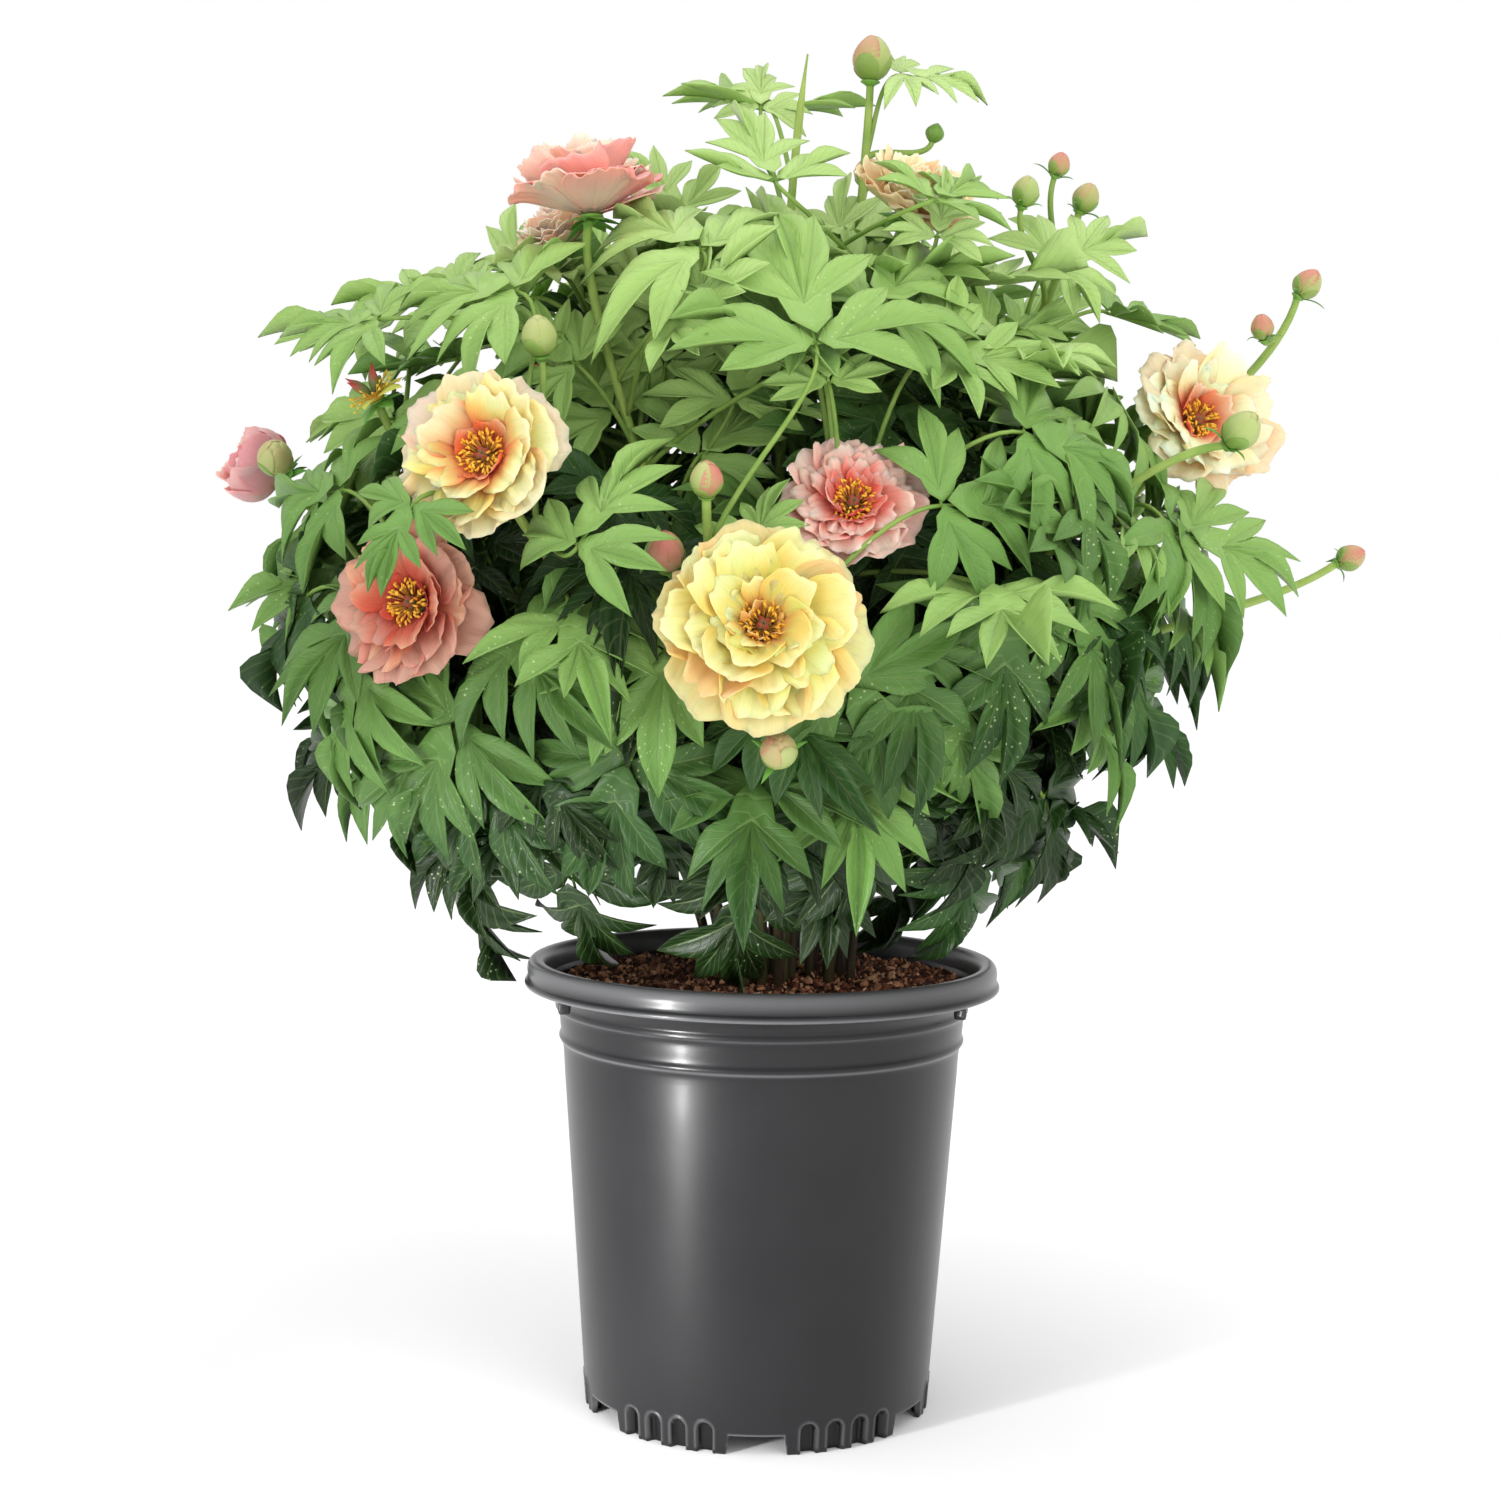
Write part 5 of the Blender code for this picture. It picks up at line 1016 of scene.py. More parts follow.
def blade_sheet(base, out, way, length, width, open_up, curl, thickness, **marks):
    """A closed narrow blade: it leaves the base along out, rises by open_up and curls by curl at
    its tip, and its half width is width * sin(pi s^0.75) / 2, with a low arch across."""
    rows, columns = 9, 8
    s = np.linspace(0, 1, rows)[:, None]
    a = circle(columns)[None, :]
    side = np.cross(way, out)
    centre = base + out * (length * s[..., None]) + way * (length * (open_up * s + curl * s**2)[..., None])
    half = width / 2 * np.sin(np.pi * np.clip(s, 0.02, 0.995) ** 0.75)
    full = np.sqrt(np.clip(half / (width / 2), 0, 1))
    lift = thickness / 2 * np.sin(a) * full - 0.18 * half * np.cos(a) ** 2
    points = centre + side * (half * np.cos(a))[..., None] + way * lift[..., None]
    points = np.concatenate((centre[:1] + 0 * points[:1], points, centre[-1:] + 0 * points[-1:]))
    return facing_out(sheet_of(points, grid(rows + 2, columns, True), **marks))


def flower_greens(end, seat, way, radius, height, rng):
    """Cup and sepals under a bloom, bud or spent bloom, and the bracts that curl below some."""
    sheets = [cup_sheet(seat, way, radius, height)]
    across, up, axis = frame_of(way)
    sepals = 5 if end in BLOOMS or end == "spent_bloom" else 0
    for k in range(sepals):
        a = 2 * np.pi * (k + 0.2 * rng.uniform(-1, 1)) / sepals
        out = spoke(across, up, a)
        base = seat - axis * 0.0012 + out * radius * 0.3
        sheets.append(blade_sheet(
            base, out, axis, 0.015 * rng.uniform(0.8, 1.15), 0.009, -0.05, -0.25, SEPAL,
            leafy=1.0, tinge=rng.uniform(0, 0.15),
        ))
    if end in BUDS and BUDS[end][4]:
        for k in range(3):
            a = 2 * np.pi * k / 3 + rng.uniform(0, 1)
            out = spoke(across, up, a)
            base = seat - axis * 0.001 + out * radius * 0.4
            size = BUDS[end][2] * MM
            sheets.append(blade_sheet(
                base, out, axis, size * rng.uniform(0.75, 1.1), size * 0.20, 0.9,
                -0.9 * rng.uniform(0.6, 1.2), SEPAL, leafy=0.9, tinge=rng.uniform(0, 0.3),
            ))
    if end in BRACTED:
        for k in range(3):
            a = 2 * np.pi * k / 3 + 0.4
            out = spoke(across, up, a)
            sheets.append(blade_sheet(
                seat - axis * 0.0022, out, axis, 0.019, 0.0060, -0.15, -0.35, SEPAL, leafy=1.0, tinge=0.1,
            ))
    return sheets


def calyx_sizes(name):
    """Radius and height of the cup under a flower."""
    if name in BLOOMS:
        return BLOOM_CALYX
    if name in BUDS:
        return BUD_CALYX[0] * BUDS[name][2] * MM, BUD_CALYX[1] * BUDS[name][2] * MM
    return SPENT_CALYX


def stem_sheets(number, path, seats, settings):
    """The main stalk, its branches, and the greens under what they end in."""
    top, _, branches, _ = STEMS[number]
    rng = np.random.default_rng((STEM_SEED, number))
    share = np.linspace(0, 1, len(path))
    swell = 1 + 0.05 * np.sin(9 * np.pi * share + number)
    radii = settings.stem_radius * (1 + (STEM_TOP_SHARE - 1) * share) * swell
    if top == "stub":
        radii = radii * (1 - 0.75 * smooth((share - 0.9) / 0.1))
    # Painted shade at the foot of the stem, and a little purplish colouring at random along all of it.
    tinge = 0.9 * smooth(1.25 - share * 3.4) + 0.1 * rng.uniform(0, 1)
    sheets = [tube(path, radii, 12, leafy=0.0, tinge=tinge)]
    thin = np.linspace(BRANCH_RADIUS, BRANCH_TOP_RADIUS, BRANCH_POINTS)
    for end, place in branches:
        seat, way = seats[end]
        branch = branch_path(path, place, seat, way, BRANCH_POINTS)
        sheets.append(tube(branch, thin, 10, leafy=0.15, tinge=rng.uniform(0, 0.25)))
    for end in (top, *(row[0] for row in branches)):
        if end == "stub":
            continue
        seat, way = seats[end]
        if end in GREEN_TIPS:
            size = GREEN_TIPS[end][2] * MM
            steps = np.linspace(0, 1, 12)
            tip = seat + way * size * steps[:, None]
            round_tip = size * 0.5 * np.sin(np.pi * (0.1 + 0.88 * steps)) ** 0.8
            sheets.append(tube(tip, round_tip, 12, leafy=0.6, tinge=0.2))
        else:
            sheets += flower_greens(end, seat, way, *calyx_sizes(end), rng)
    return sheets


# Leaves

def leaf_frame(x, z, aim, turn):
    """Fork, aim and face of a leaf on the bush's round, turned about the bush."""
    flat = (np.array((x * MM, 0.0, z * MM)) - BUSH_CENTRE) / BUSH_RADII
    depth = math.sqrt(max(0.0, 1.0 - (flat**2).sum())) * BUSH_RADII[1] * LEAF_DEPTH_SHARE
    fork = np.array((x * MM, -depth, z * MM))
    out = (fork - BUSH_CENTRE) / BUSH_RADII**2
    face = unit(unit(out) + np.array((0.0, -0.25, 0.45)))
    a = math.radians(aim)
    aimed = np.array((math.cos(a), 0.0, math.sin(a)))
    ahead = unit(aimed - face * (aimed @ face))
    axis = np.array((BUSH_CENTRE[0], 0.0, 0.0))
    return turned(fork - axis, turn) + axis, turned(ahead, turn), turned(face, turn)


def leaf_habit(rng, most, turn):
    """What a leaf draws first: its arch, the turns of its hands and the reaches of their rims."""
    return {
        "rng": rng, "arch": LEAF_ARCH * rng.uniform(0.5, most), "turns": rng.uniform(-turn, turn, 3),
        "reaches": rng.uniform(*RIM_REACH, (3, RIM_POINTS)),
    }


def leaf_draw(number, turn, row, attempt):
    """A leaf's fork and directions at the seeded draw that it keeps."""
    fork, ahead, face = leaf_frame(row[0], row[1], row[2], turn)
    rng = np.random.default_rng((LEAF_SEED, number, turn, attempt))
    habit = leaf_habit(rng, 1.5, 7)
    stray = FIRST_STRAY + (LAST_STRAY - FIRST_STRAY) * attempt / LEAF_DRAWS
    side = np.cross(face, ahead)
    slip = rng.uniform(-1, 1, 3) * stray
    fork = fork + (slip[0] * ahead + slip[1] * side) * LEAF_SLIP + face * (slip[2] * LEAF_LIFT)
    lean, roll, spin = rng.normal(0.0, LEAF_TILT, 3) * stray
    ahead = unit(ahead + side * spin + face * lean)
    face = unit(face + side * roll - ahead * (face @ ahead))
    face = unit(face - ahead * (face @ ahead))
    return {"fork": fork, "ahead": ahead, "face": face, "size": row[3], "tone": rng.uniform(0, 1),
            "perk": perk_at(fork[2]), **habit}


def perk_at(height):
    """How much a leaf rises instead of hanging: 0 low on the bush, 1 at its top, and nearly
    twice that for the one leaf that stands above it."""
    top = 0.9 * smooth((height - PERK_TOP) / 0.03)
    return float(smooth((height - PERK_FROM) / (PERK_TO - PERK_FROM)) + top)


def polar(angle, reach):
    """Flat place at a bearing in degrees and a reach."""
    a = math.radians(angle)
    return np.array((math.cos(a), math.sin(a))) * reach


def edge_line(a, b, count, bulge, outward):
    """From a to b, pushed out to one side by bulge * |b - a| * 5.4 t^1.1 (1 - t)^1.35."""
    t = np.linspace(0, 1, count + 1)[:, None]
    normal = np.array((-(b - a)[1], (b - a)[0])) * outward
    return a + (b - a) * t + normal * bulge * 5.4 * t**1.1 * (1 - t) ** 1.35


def lobe_grid(hub, neck, tip, left, right, first, last, bulge):
    """Flat points of a lobe and half its width. Rows run from hub to tip, and columns from the
    left edge over the rib to the right edge. Up to the cuts the edges are shared with the next
    lobes, and past them they swell to both sides and meet in the tip."""
    edges = []
    for cut, outward, outer in ((left, -1, first), (right, 1, last)):
        base = edge_line(neck if outer else hub, cut, LOW_ROWS, 0.14 if outer else 0.0, outward)
        edges.append(np.vstack((base, edge_line(cut, tip, HIGH_ROWS, bulge, outward)[1:])))
    rib = unit(tip - hub)
    middle = hub + rib * max(0.15 * np.linalg.norm(tip - hub), (0.5 * (left + right) - hub) @ rib)
    low, high = edge_line(hub, middle, LOW_ROWS, 0.0, 1), edge_line(middle, tip, HIGH_ROWS, 0.0, 1)
    centre = np.vstack((low, high[1:]))
    sides = np.stack([edges[v > 0] for v in COLUMNS], 1)
    flat = centre[:, None] + (sides - centre[:, None]) * np.abs(COLUMNS)[None, :, None]
    return flat, np.linalg.norm(sides - centre[:, None], axis=2)


def bow(x, y, leaf, length):
    """Lift of a leaf off its plane: it arches down by arch * r^2 / length, or where it is perky
    it rises like a bowl by 0.30 r^1.3 / length^0.3."""
    r = np.hypot(x, y)
    return leaf["perk"] * 0.30 * r**1.3 / length**0.3 - (1 - leaf["perk"]) * leaf["arch"] * r * r / length


def hand_sheets(leaf, number, length, fold):
    """The lobes of one of a leaf's three hands, each folded up from its rib, bowed and waved."""
    lobes, tips = (MIDDLE_LOBES, MIDDLE_TIPS) if number == 1 else (SIDE_LOBES, SIDE_TIPS)
    rng, perk = leaf["rng"], leaf["perk"]
    turn = HAND_TURNS[number] + leaf["turns"][number]
    hub, neck = polar(turn, HAND_HUBS[number] * length), polar(turn, 0.0010)
    side = np.cross(leaf["face"], leaf["ahead"])
    rows = LOW_ROWS + HIGH_ROWS + 1
    s = np.linspace(0, 1, rows)[:, None]
    past = np.clip((s - s[LOW_ROWS]) / (1 - s[LOW_ROWS]), 0, 1)
    sheets = []
    for k, (bearing, reach, left, right) in enumerate(lobes):
        droop, bulge = rng.uniform(0.0, 0.22), rng.uniform(0.11, 0.16)
        waves, sweep = rng.uniform(-1, 1, 3), rng.normal(0, 4)
        tip = hub + polar(turn + bearing + sweep, reach * length * leaf["reaches"][number][tips[k]])
        cuts = [hub + polar(turn + a, r * length) for a, r in (left, right)]
        flat, half = lobe_grid(hub, neck, tip, *cuts, k == 0, k == len(lobes) - 1, bulge)
        x, y = flat[..., 0], flat[..., 1]
        # The fold rises from the rib, by the way from the hub up to the cuts and by the width past them.
        low = fold * 0.62 * np.hypot(x - hub[0], y - hub[1]) * np.abs(COLUMNS)
        rise = np.where(past > 0, half / np.maximum(half[LOW_ROWS], 1e-6) * low[LOW_ROWS], low)
        wave = past * waves[0] * np.sin(2.4 * np.pi * past + 3 * waves[1]) * 0.16 * half * COLUMNS
        bend = past**1.8 * length * (waves[2] * 0.09 - droop * (1 - 0.8 * perk))
        z = rise + bow(x, y, leaf, length) + wave + bend
        points = leaf["fork"] + x[..., None] * leaf["ahead"] + y[..., None] * side
        points = points + z[..., None] * leaf["face"]
        uv = np.stack(np.broadcast_arrays((COLUMNS[None] + 1) / 2, s), -1)
        sheets.append(sheet_of(points, grid(rows, len(COLUMNS)), uv, tone=leaf["tone"]))
    return stacked(sheets), hub


def stacked(sheets):
    """Sheets as one, so that their shared points are welded."""
    starts = np.cumsum([0] + [len(sheet["points"]) for sheet in sheets])
    faces = np.concatenate([sheet["faces"] + start for sheet, start in zip(sheets, starts)])
    points, uv = (np.concatenate([sheet[key] for sheet in sheets]) for key in ("points", "uv"))
    marks = {key: np.concatenate([sheet["marks"][key] for sheet in sheets]) for key in sheets[0]["marks"]}
    return {"points": points, "faces": faces, "uv": uv, "marks": marks}


def leaf_blades(leaf, settings):
    """The three hands of a leaf, and the hubs that their short stalks reach."""
    hands = [hand_sheets(leaf, n, settings.leaf_length * leaf["size"], settings.fold) for n in range(3)]
    return [hand[0] for hand in hands], [hand[1] for hand in hands]


def clearest_blades(leaf, flowers, bare, settings):
    """Blades of a leaf at the rise that puts the fewest of its points before a flower."""
    perk, state, best = leaf["perk"], leaf["rng"].bit_generator.state, None
    for share in RISES:
        leaf["perk"], leaf["rng"].bit_generator.state = perk * share, state
        made = leaf_blades(leaf, settings)
        hidden = in_the_way(made[0], flowers, bare)
        if best is None or hidden < best[0]:
            best = hidden, leaf["perk"], made
        if not hidden:
            break
    leaf["perk"] = best[1]
    return best[2]


def leaf_stalks(leaf, hubs, path, settings):
    """The short stalks to a leaf's hubs, and the long one from its fork to the nearest stem."""
    length = settings.leaf_length * leaf["size"]
    fork, ahead, face = leaf["fork"], leaf["ahead"], leaf["face"]
    side = np.cross(face, ahead)
    stalks = []
    for hub in hubs:
        place = fork + hub[0] * ahead + hub[1] * side + face * (bow(hub[0], hub[1], leaf, length) - 0.0004)
        line = fork + (place - fork) * np.linspace(0, 1.0, 6)[:, None]
        stalks.append(tube(line, np.linspace(0.0010, 0.0004, 6), 6, leafy=0.45, tinge=0.0))
    start = nearest_on(path, stalk_aim(leaf))
    reach = np.linalg.norm(fork - start)
    rise = np.array((0.0, 0.0, 0.10 * reach))
    line = bezier(start, start + 0.3 * (fork - start) + rise, fork - ahead * 0.25 * reach, fork, 14)
    tinge = 0.25 * max(0, leaf["tone"])
    stalks.append(tube(line, np.linspace(0.0016, 0.0011, 14), 8, leafy=0.3, tinge=tinge))
    return stalks


def stalk_aim(leaf):
    """Where a leaf's stalk comes from: behind and below its fork."""
    return leaf["fork"] - leaf["ahead"] * STALK_BACK - np.array((0.0, 0.0, STALK_DROP))


def seen_flowers():
    """Centre, facing and radius of each flower and bud that is to be seen from the front."""
    rows = list(BLOOMS.values())[:FRONT_BLOOMS] + list(BUDS.values())[:-1] + [SPENT_BLOOM]
    return [(np.array(row[0]) * MM, unit(row[1]), row[2] * MM / 2) for row in rows]


def in_the_way(blades, flowers, bare):
    """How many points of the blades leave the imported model's box, or lie before a flower along
    its facing or towards the camera, or before the bare stem."""
    places = np.concatenate([blade["points"] for blade in blades])
    low, high = np.array(CAD_BOX[0]) - BOX_ROOM, np.array(CAD_BOX[1]) + BOX_ROOM
    bad = ((places < low) | (places > high)).any(axis=1)
    for middle, facing, radius in flowers:
        for axis in (facing, unit(np.array(EYE) - middle)):
            ahead = (places - middle) @ axis
            off = np.linalg.norm((places - middle) - ahead[:, None] * axis, axis=1)
            bad |= (ahead > -0.3 * radius) & (off < radius * 0.96)
    off = np.abs(places[:, None, ::2] - bare[None, :, ::2])
    before = places[:, None, 1] < bare[None, :, 1] + 0.01
    bad |= ((off < BARE_ROOM).all(axis=-1) & before).any(axis=1)
    return int(bad.sum())


def free_leaf(fork, ahead, face, size, tone, rng):
    """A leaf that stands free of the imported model's table."""
    return {"fork": fork, "ahead": ahead, "face": face, "size": size, "tone": tone,
            "perk": perk_at(fork[2]), **leaf_habit(rng, 1.6, 9)}


def filler_leaves(count, share, taken, flowers, bare, seed, tones, settings):
    """Leaves spread evenly over the bush's round at a share of its depth, by the golden angle,
    clear of the flowers and of the forks already there. They hang low on the bush, point out
    at its middle and rise at its top."""
    rng = np.random.default_rng(seed)
    k = np.arange(count) + 0.5
    up = 1 - 1.74 * k / count
    a = np.pi * (1 + 5**0.5) * k + seed
    level = np.sqrt(np.maximum(0, 1 - up**2))
    found = []
    for n, azimuth, flat in zip(up, a, level):
        out = np.array((flat * math.cos(azimuth), flat * math.sin(azimuth), n))
        depth = share * rng.uniform(0.92, 1.03) * (1 - 0.20 * max(0.0, n) ** 1.5)
        fork = BUSH_CENTRE + out * BUSH_RADII * depth
        aim_noise, face_noise = rng.normal(0, 0.32, 3), rng.normal(0, 0.40, 3)
        size, tone = rng.uniform(0.62, 1.0), rng.uniform(*tones)
        if any(np.linalg.norm(fork - other) < settings.spacing for other in taken):
            continue
        perk = perk_at(fork[2])
        hang = np.array((0, 0, 0.70 * perk - 0.80 * (1 - perk)))
        aim = out * (1, 1, 0) * (1.0 - 0.2 * perk) + hang + aim_noise
        face = unit(out + np.array((0.0, -0.20 * perk, 0.75 + 0.25 * perk)) + face_noise)
        leaf = free_leaf(fork, unit(aim - face * (aim @ face)), face, size, tone, rng)
        blades, hubs = leaf_blades(leaf, settings)
        if in_the_way(blades, flowers, bare):
            continue
        taken.append(fork)
        found.append((leaf, blades, hubs))
    return found


def placed_leaves(settings):
    """Leaves put where the photo shows them apart from the rest."""
    rng = np.random.default_rng(PLACED_SEED)
    found = []
    for place, aim, facing, size, tone, perk in PLACED_LEAVES:
        face, aim = unit(facing), np.array(aim, float)
        leaf = free_leaf(np.array(place) * MM, unit(aim - face * (aim @ face)), face, size, tone, rng)
        leaf["perk"] = perk
        found.append((leaf, *leaf_blades(leaf, settings)))
    return found


# Flowers

def petal_sheet(seat, facing, bearing, ring, radius, flare, ruffle, rng):
    """A petal that leaves the axis steeply and opens outwards.

    Along it, angle = steep + (flat - steep) s^0.9 is summed into r(s) and h(s). Across it, half
    the width grows as smooth(s), and each column stops at s = 1 - 0.16 |t|^2.6 - notches, with
    broad and fine notches as cosines of t. Ruffles are sines of t that grow with s^2, folds run
    from base to edge, and the sides curl up with t^2. A petal that closes over the heart has a
    rounder tip and wraps round the axis: its sides move inwards by (t half)^2 / (2 r).
    """
    _, steep, flat, reach, width, start, lift = ring
    across, up, axis = frame_of(facing)
    a = math.radians(bearing)
    out = spoke(across, up, a)
    side = np.cross(axis, out)
    length = reach * radius * rng.uniform(0.93, 1.06) * 1.04 - start * MM
    steps = np.linspace(0, 1, 41)
    rise = np.radians(steep + (flat - steep) * steps**0.9 + rng.uniform(-6, 6))
    r = start * MM + np.concatenate(([0.0], np.cumsum(np.cos(rise[1:])))) * length / 40
    h = lift * MM + np.concatenate(([0.0], np.cumsum(np.sin(rise[1:])))) * length / 40
    t = np.linspace(-1, 1, PETAL_COLUMNS)[None, :]
    q = np.linspace(0, 1, PETAL_ROWS)[:, None] ** 0.85
    phase, waves = rng.uniform(0, 2 * np.pi), rng.uniform(1.4, 2.8)
    broad, fine = rng.uniform(0.2, 1.0) * 0.035, rng.uniform(0.3, 1.0) * 0.018
    bite = broad * (1 - np.cos(np.pi * rng.integers(1, 4) * (t + rng.uniform(-0.3, 0.3))))
    bite = bite + fine * (1 - np.cos(2.5 * np.pi * (t + 0.15 * np.sin(3 * t + phase)) * 1.6 + phase))
    closing = steep + flat > CLOSING and width > WRAP_WIDTH
    if closing and width > CALM_WIDTH:
        ruffle, bite = 0.4 * ruffle, 0.35 * bite
    stop = 1 - (0.34 if closing else 0.16) * np.abs(t) ** 2.6 - bite
    s = q * stop
    share = 0.13 + 0.37 * smooth(q / 0.72) - 0.04 * smooth((q - 0.75) / 0.25)
    half = share * width * radius * rng.uniform(0.9, 1.12)
    slack = 1.7 if out[2] < -0.35 else 1.0
    swing = np.sin(np.pi * waves * t + phase)
    ruffled = ruffle * slack * 0.058 * radius * q**2 * swing * (0.35 + 0.65 * np.abs(t))
    folds = radius * q * (0.017 * np.cos(5 * np.pi * t + phase) + 0.012 * np.cos(2.2 * np.pi * t - phase))
    cup = 0.13 * radius * t**2 * q * slack * rng.uniform(0.3, 1.3)
    curl = -0.13 * radius * q**5 * rng.uniform(-0.5, 1.3)
    high = np.interp(s, steps, h) + ruffled + folds + cup + PINWHEEL * radius * t * q + curl
    far = np.interp(s, steps, r) + 0.5 * ruffled
    if closing:
        upright = np.interp(s, steps, np.clip(np.sin(rise), 0, 1))
        far = far - upright * (t * half) ** 2 / (2 * np.maximum(far, 0.75 * half))
    points = seat + out * far[..., None] + side * (t * half)[..., None] + axis * high[..., None]
    uv = np.stack(np.broadcast_arrays((t + 1) / 2, q), -1)
    along = s.ravel()
    base = along * length / MM
    return sheet_of(points, grid(PETAL_ROWS, PETAL_COLUMNS), uv, along=along, tone=rng.uniform(0, 1),
                    flare=smooth(1.25 - base / flare))


def bloom_sheets(name, ruffle):
    """All the petals of a bloom, ring by ring, each at its own bearing round the facing."""
    centre, facing, size, habit, _, stretch, flare, _ = BLOOMS[name]
    rng = np.random.default_rng((LEAF_SEED, int(name[-2:])))
    seat = seat_of(centre, facing, BLOOM_BACK * size * MM)
    sheets = []
    for number, ring in enumerate(RINGS[habit]):
        first = rng.uniform(0, 360)
        for k in range(ring[0]):
            bearing = first + 360 * (k + rng.uniform(-0.2, 0.2)) / ring[0]
            sheet = petal_sheet(seat, facing, bearing, ring, size * MM / 2 * stretch, flare, ruffle, rng)
            blushed = rng.uniform(0.3, 0.9) if number == 0 or rng.uniform() < 0.18 else rng.uniform(0, 0.15)
            sheet["marks"]["flush"] = blushed * smooth(0.2 + sheet["marks"]["along"])
            sheets.append(sheet)
    return sheets


def carpel_radii(steps, radius, share, low, thin, start):
    """A flask: radius * sin(pi (share s + low)), thinned to a neck from start on."""
    belly = radius * np.sin(np.pi * np.clip(steps * share + low, 0, 1))
    return belly * (1 - thin * smooth((steps - start) / 0.4))


def heart_sheets(foot, facing, rng):
    """Stamens with their anthers in a tuft, round a few flask-shaped carpels."""
    across, up, axis = frame_of(facing)
    sheets = []
    base = foot + axis * np.linspace(0, 0.0026, 5)[:, None]
    sheets.append(tube(base, (0.0046, 0.0050, 0.0048, 0.0040, 0.0026), 16, along=0.05))
    for k in range(STAMENS):
        a = GOLDEN_ANGLE * k + rng.uniform(-0.2, 0.2)
        ring = (k / STAMENS) ** 0.5
        out = spoke(across, up, a)
        start = foot + axis * 0.0015 + out * (0.0020 + 0.0026 * ring)
        tall = rng.uniform(0.0075, 0.0110)
        end = start + unit(axis + out * (0.25 + 0.85 * ring * rng.uniform(0.6, 1.2))) * tall
        bend = start + axis * tall * 0.5
        line = bezier(start, bend, end - axis * tall * 0.1, end, 4)
        sheets.append(tube(line, (0.00028, 0.00026, 0.00024, 0.00022), 3, along=0.18))
        way = unit(end - bend + rng.normal(0, 0.4, 3) * tall)
        tip = end + way * np.linspace(-0.0012, 0.0016, 5)[:, None]
        anther = (0.0003, 0.00062, 0.0007, 0.0006, 0.0003)
        sheets.append(tube(tip, anther, 5, along=rng.uniform(0.30, 0.48)))
    for k in range(4):
        a = np.pi / 2 * k + 0.5
        out = spoke(across, up, a)
        steps = np.linspace(0, 1, 12)
        line = foot + axis * 0.0015 + out * (0.0012 + 0.0016 * steps[:, None])
        line = line + axis * 0.0085 * steps[:, None]
        radii = carpel_radii(steps, 0.0019, 0.72, 0.10, 0.72, 0.55)
        sheets.append(tube(line, radii, 10, along=0.58 + 0.40 * steps))
    return sheets


def bud_sheets(name):
    """A closed bud: an egg of radius (1 - 0.16 z), over it five wrapped petals whose edges stand
    off the egg, and three sepals, each with a mark of its height."""
    centre, facing, size, flush, _ = BUDS[name]
    rng = np.random.default_rng((STEM_SEED, int(name[-2:]), 5))
    radius = size * MM / 2
    seat = seat_of(centre, facing, 0.5 * BUD_TALL * size * MM)
    across, up, axis = frame_of(facing)
    middle = seat + axis * (radius * BUD_TALL + GAP)

    def egg(u, v, swell):
        """u from -1 at the bottom to 1 at the top, v round the axis."""
        lat = u * np.pi / 2
        level, high = np.cos(lat), np.sin(lat)
        drawn = level * (1 - 0.16 * np.maximum(0, high)) * swell
        tall = high * BUD_TALL * (1 + 0.10 * np.maximum(0, high) ** 6) * (0.5 + 0.5 * swell)
        return (middle + (across * (drawn * np.cos(v))[..., None] + up * (drawn * np.sin(v))[..., None]
                          + axis * tall[..., None]) * radius)

    u, v = np.meshgrid(np.linspace(-1, 1, 15), circle(24), indexing="ij")
    core = sheet_of(egg(u, v, 0.94 + 0 * u), grid(15, 24, True), along=(u.ravel() + 1) / 2, flush=flush)
    sheets = [facing_out(core)]
    for k in range(5):
        first = 2 * np.pi * k / 5 + rng.uniform(-0.2, 0.2)
        s, t = np.meshgrid(np.linspace(0, 1, 11), np.linspace(-1, 1, 11), indexing="ij")
        wide = (0.35 + 0.65 * np.sin(np.pi * np.clip(s * 0.62 + 0.1, 0, 1))) * rng.uniform(0.85, 1.05)
        top = rng.uniform(0.72, 0.92)
        uu = -0.92 + (top + 0.92) * s * (1 - 0.12 * np.abs(t) ** 2.4)
        vv = first + t * wide + 0.35 * s
        swell = 0.965 + 0.012 * k + 0.05 * (t > 0) * t**3 * s
        flushed = np.clip(flush * rng.choice((0.15, 1.0, 1.9)) + 0.4 * flush * np.abs(t.ravel()) ** 3, 0, 1)
        sheets.append(thick(egg(uu, vv, swell), 11, 11, 0.0005, along=(uu.ravel() + 1) / 2, flush=flushed))
    for k in range(3):
        first = 2 * np.pi * k / 3 + rng.uniform(-0.3, 0.3)
        s, t = np.meshgrid(np.linspace(0, 1, 9), np.linspace(-1, 1, 9), indexing="ij")
        uu = -0.98 + rng.uniform(0.75, 1.15) * s * (1 - 0.10 * t**2)
        vv = first + t * 0.95 * np.sqrt(np.clip(1 - (1.15 * s - 0.25) ** 2, 0.02, 1))
        sheets.append(thick(egg(uu, vv, 1.03 + 0.02 * s), 9, 9, 0.0006, along=0.0, flush=flush * 0.25))
    return sheets


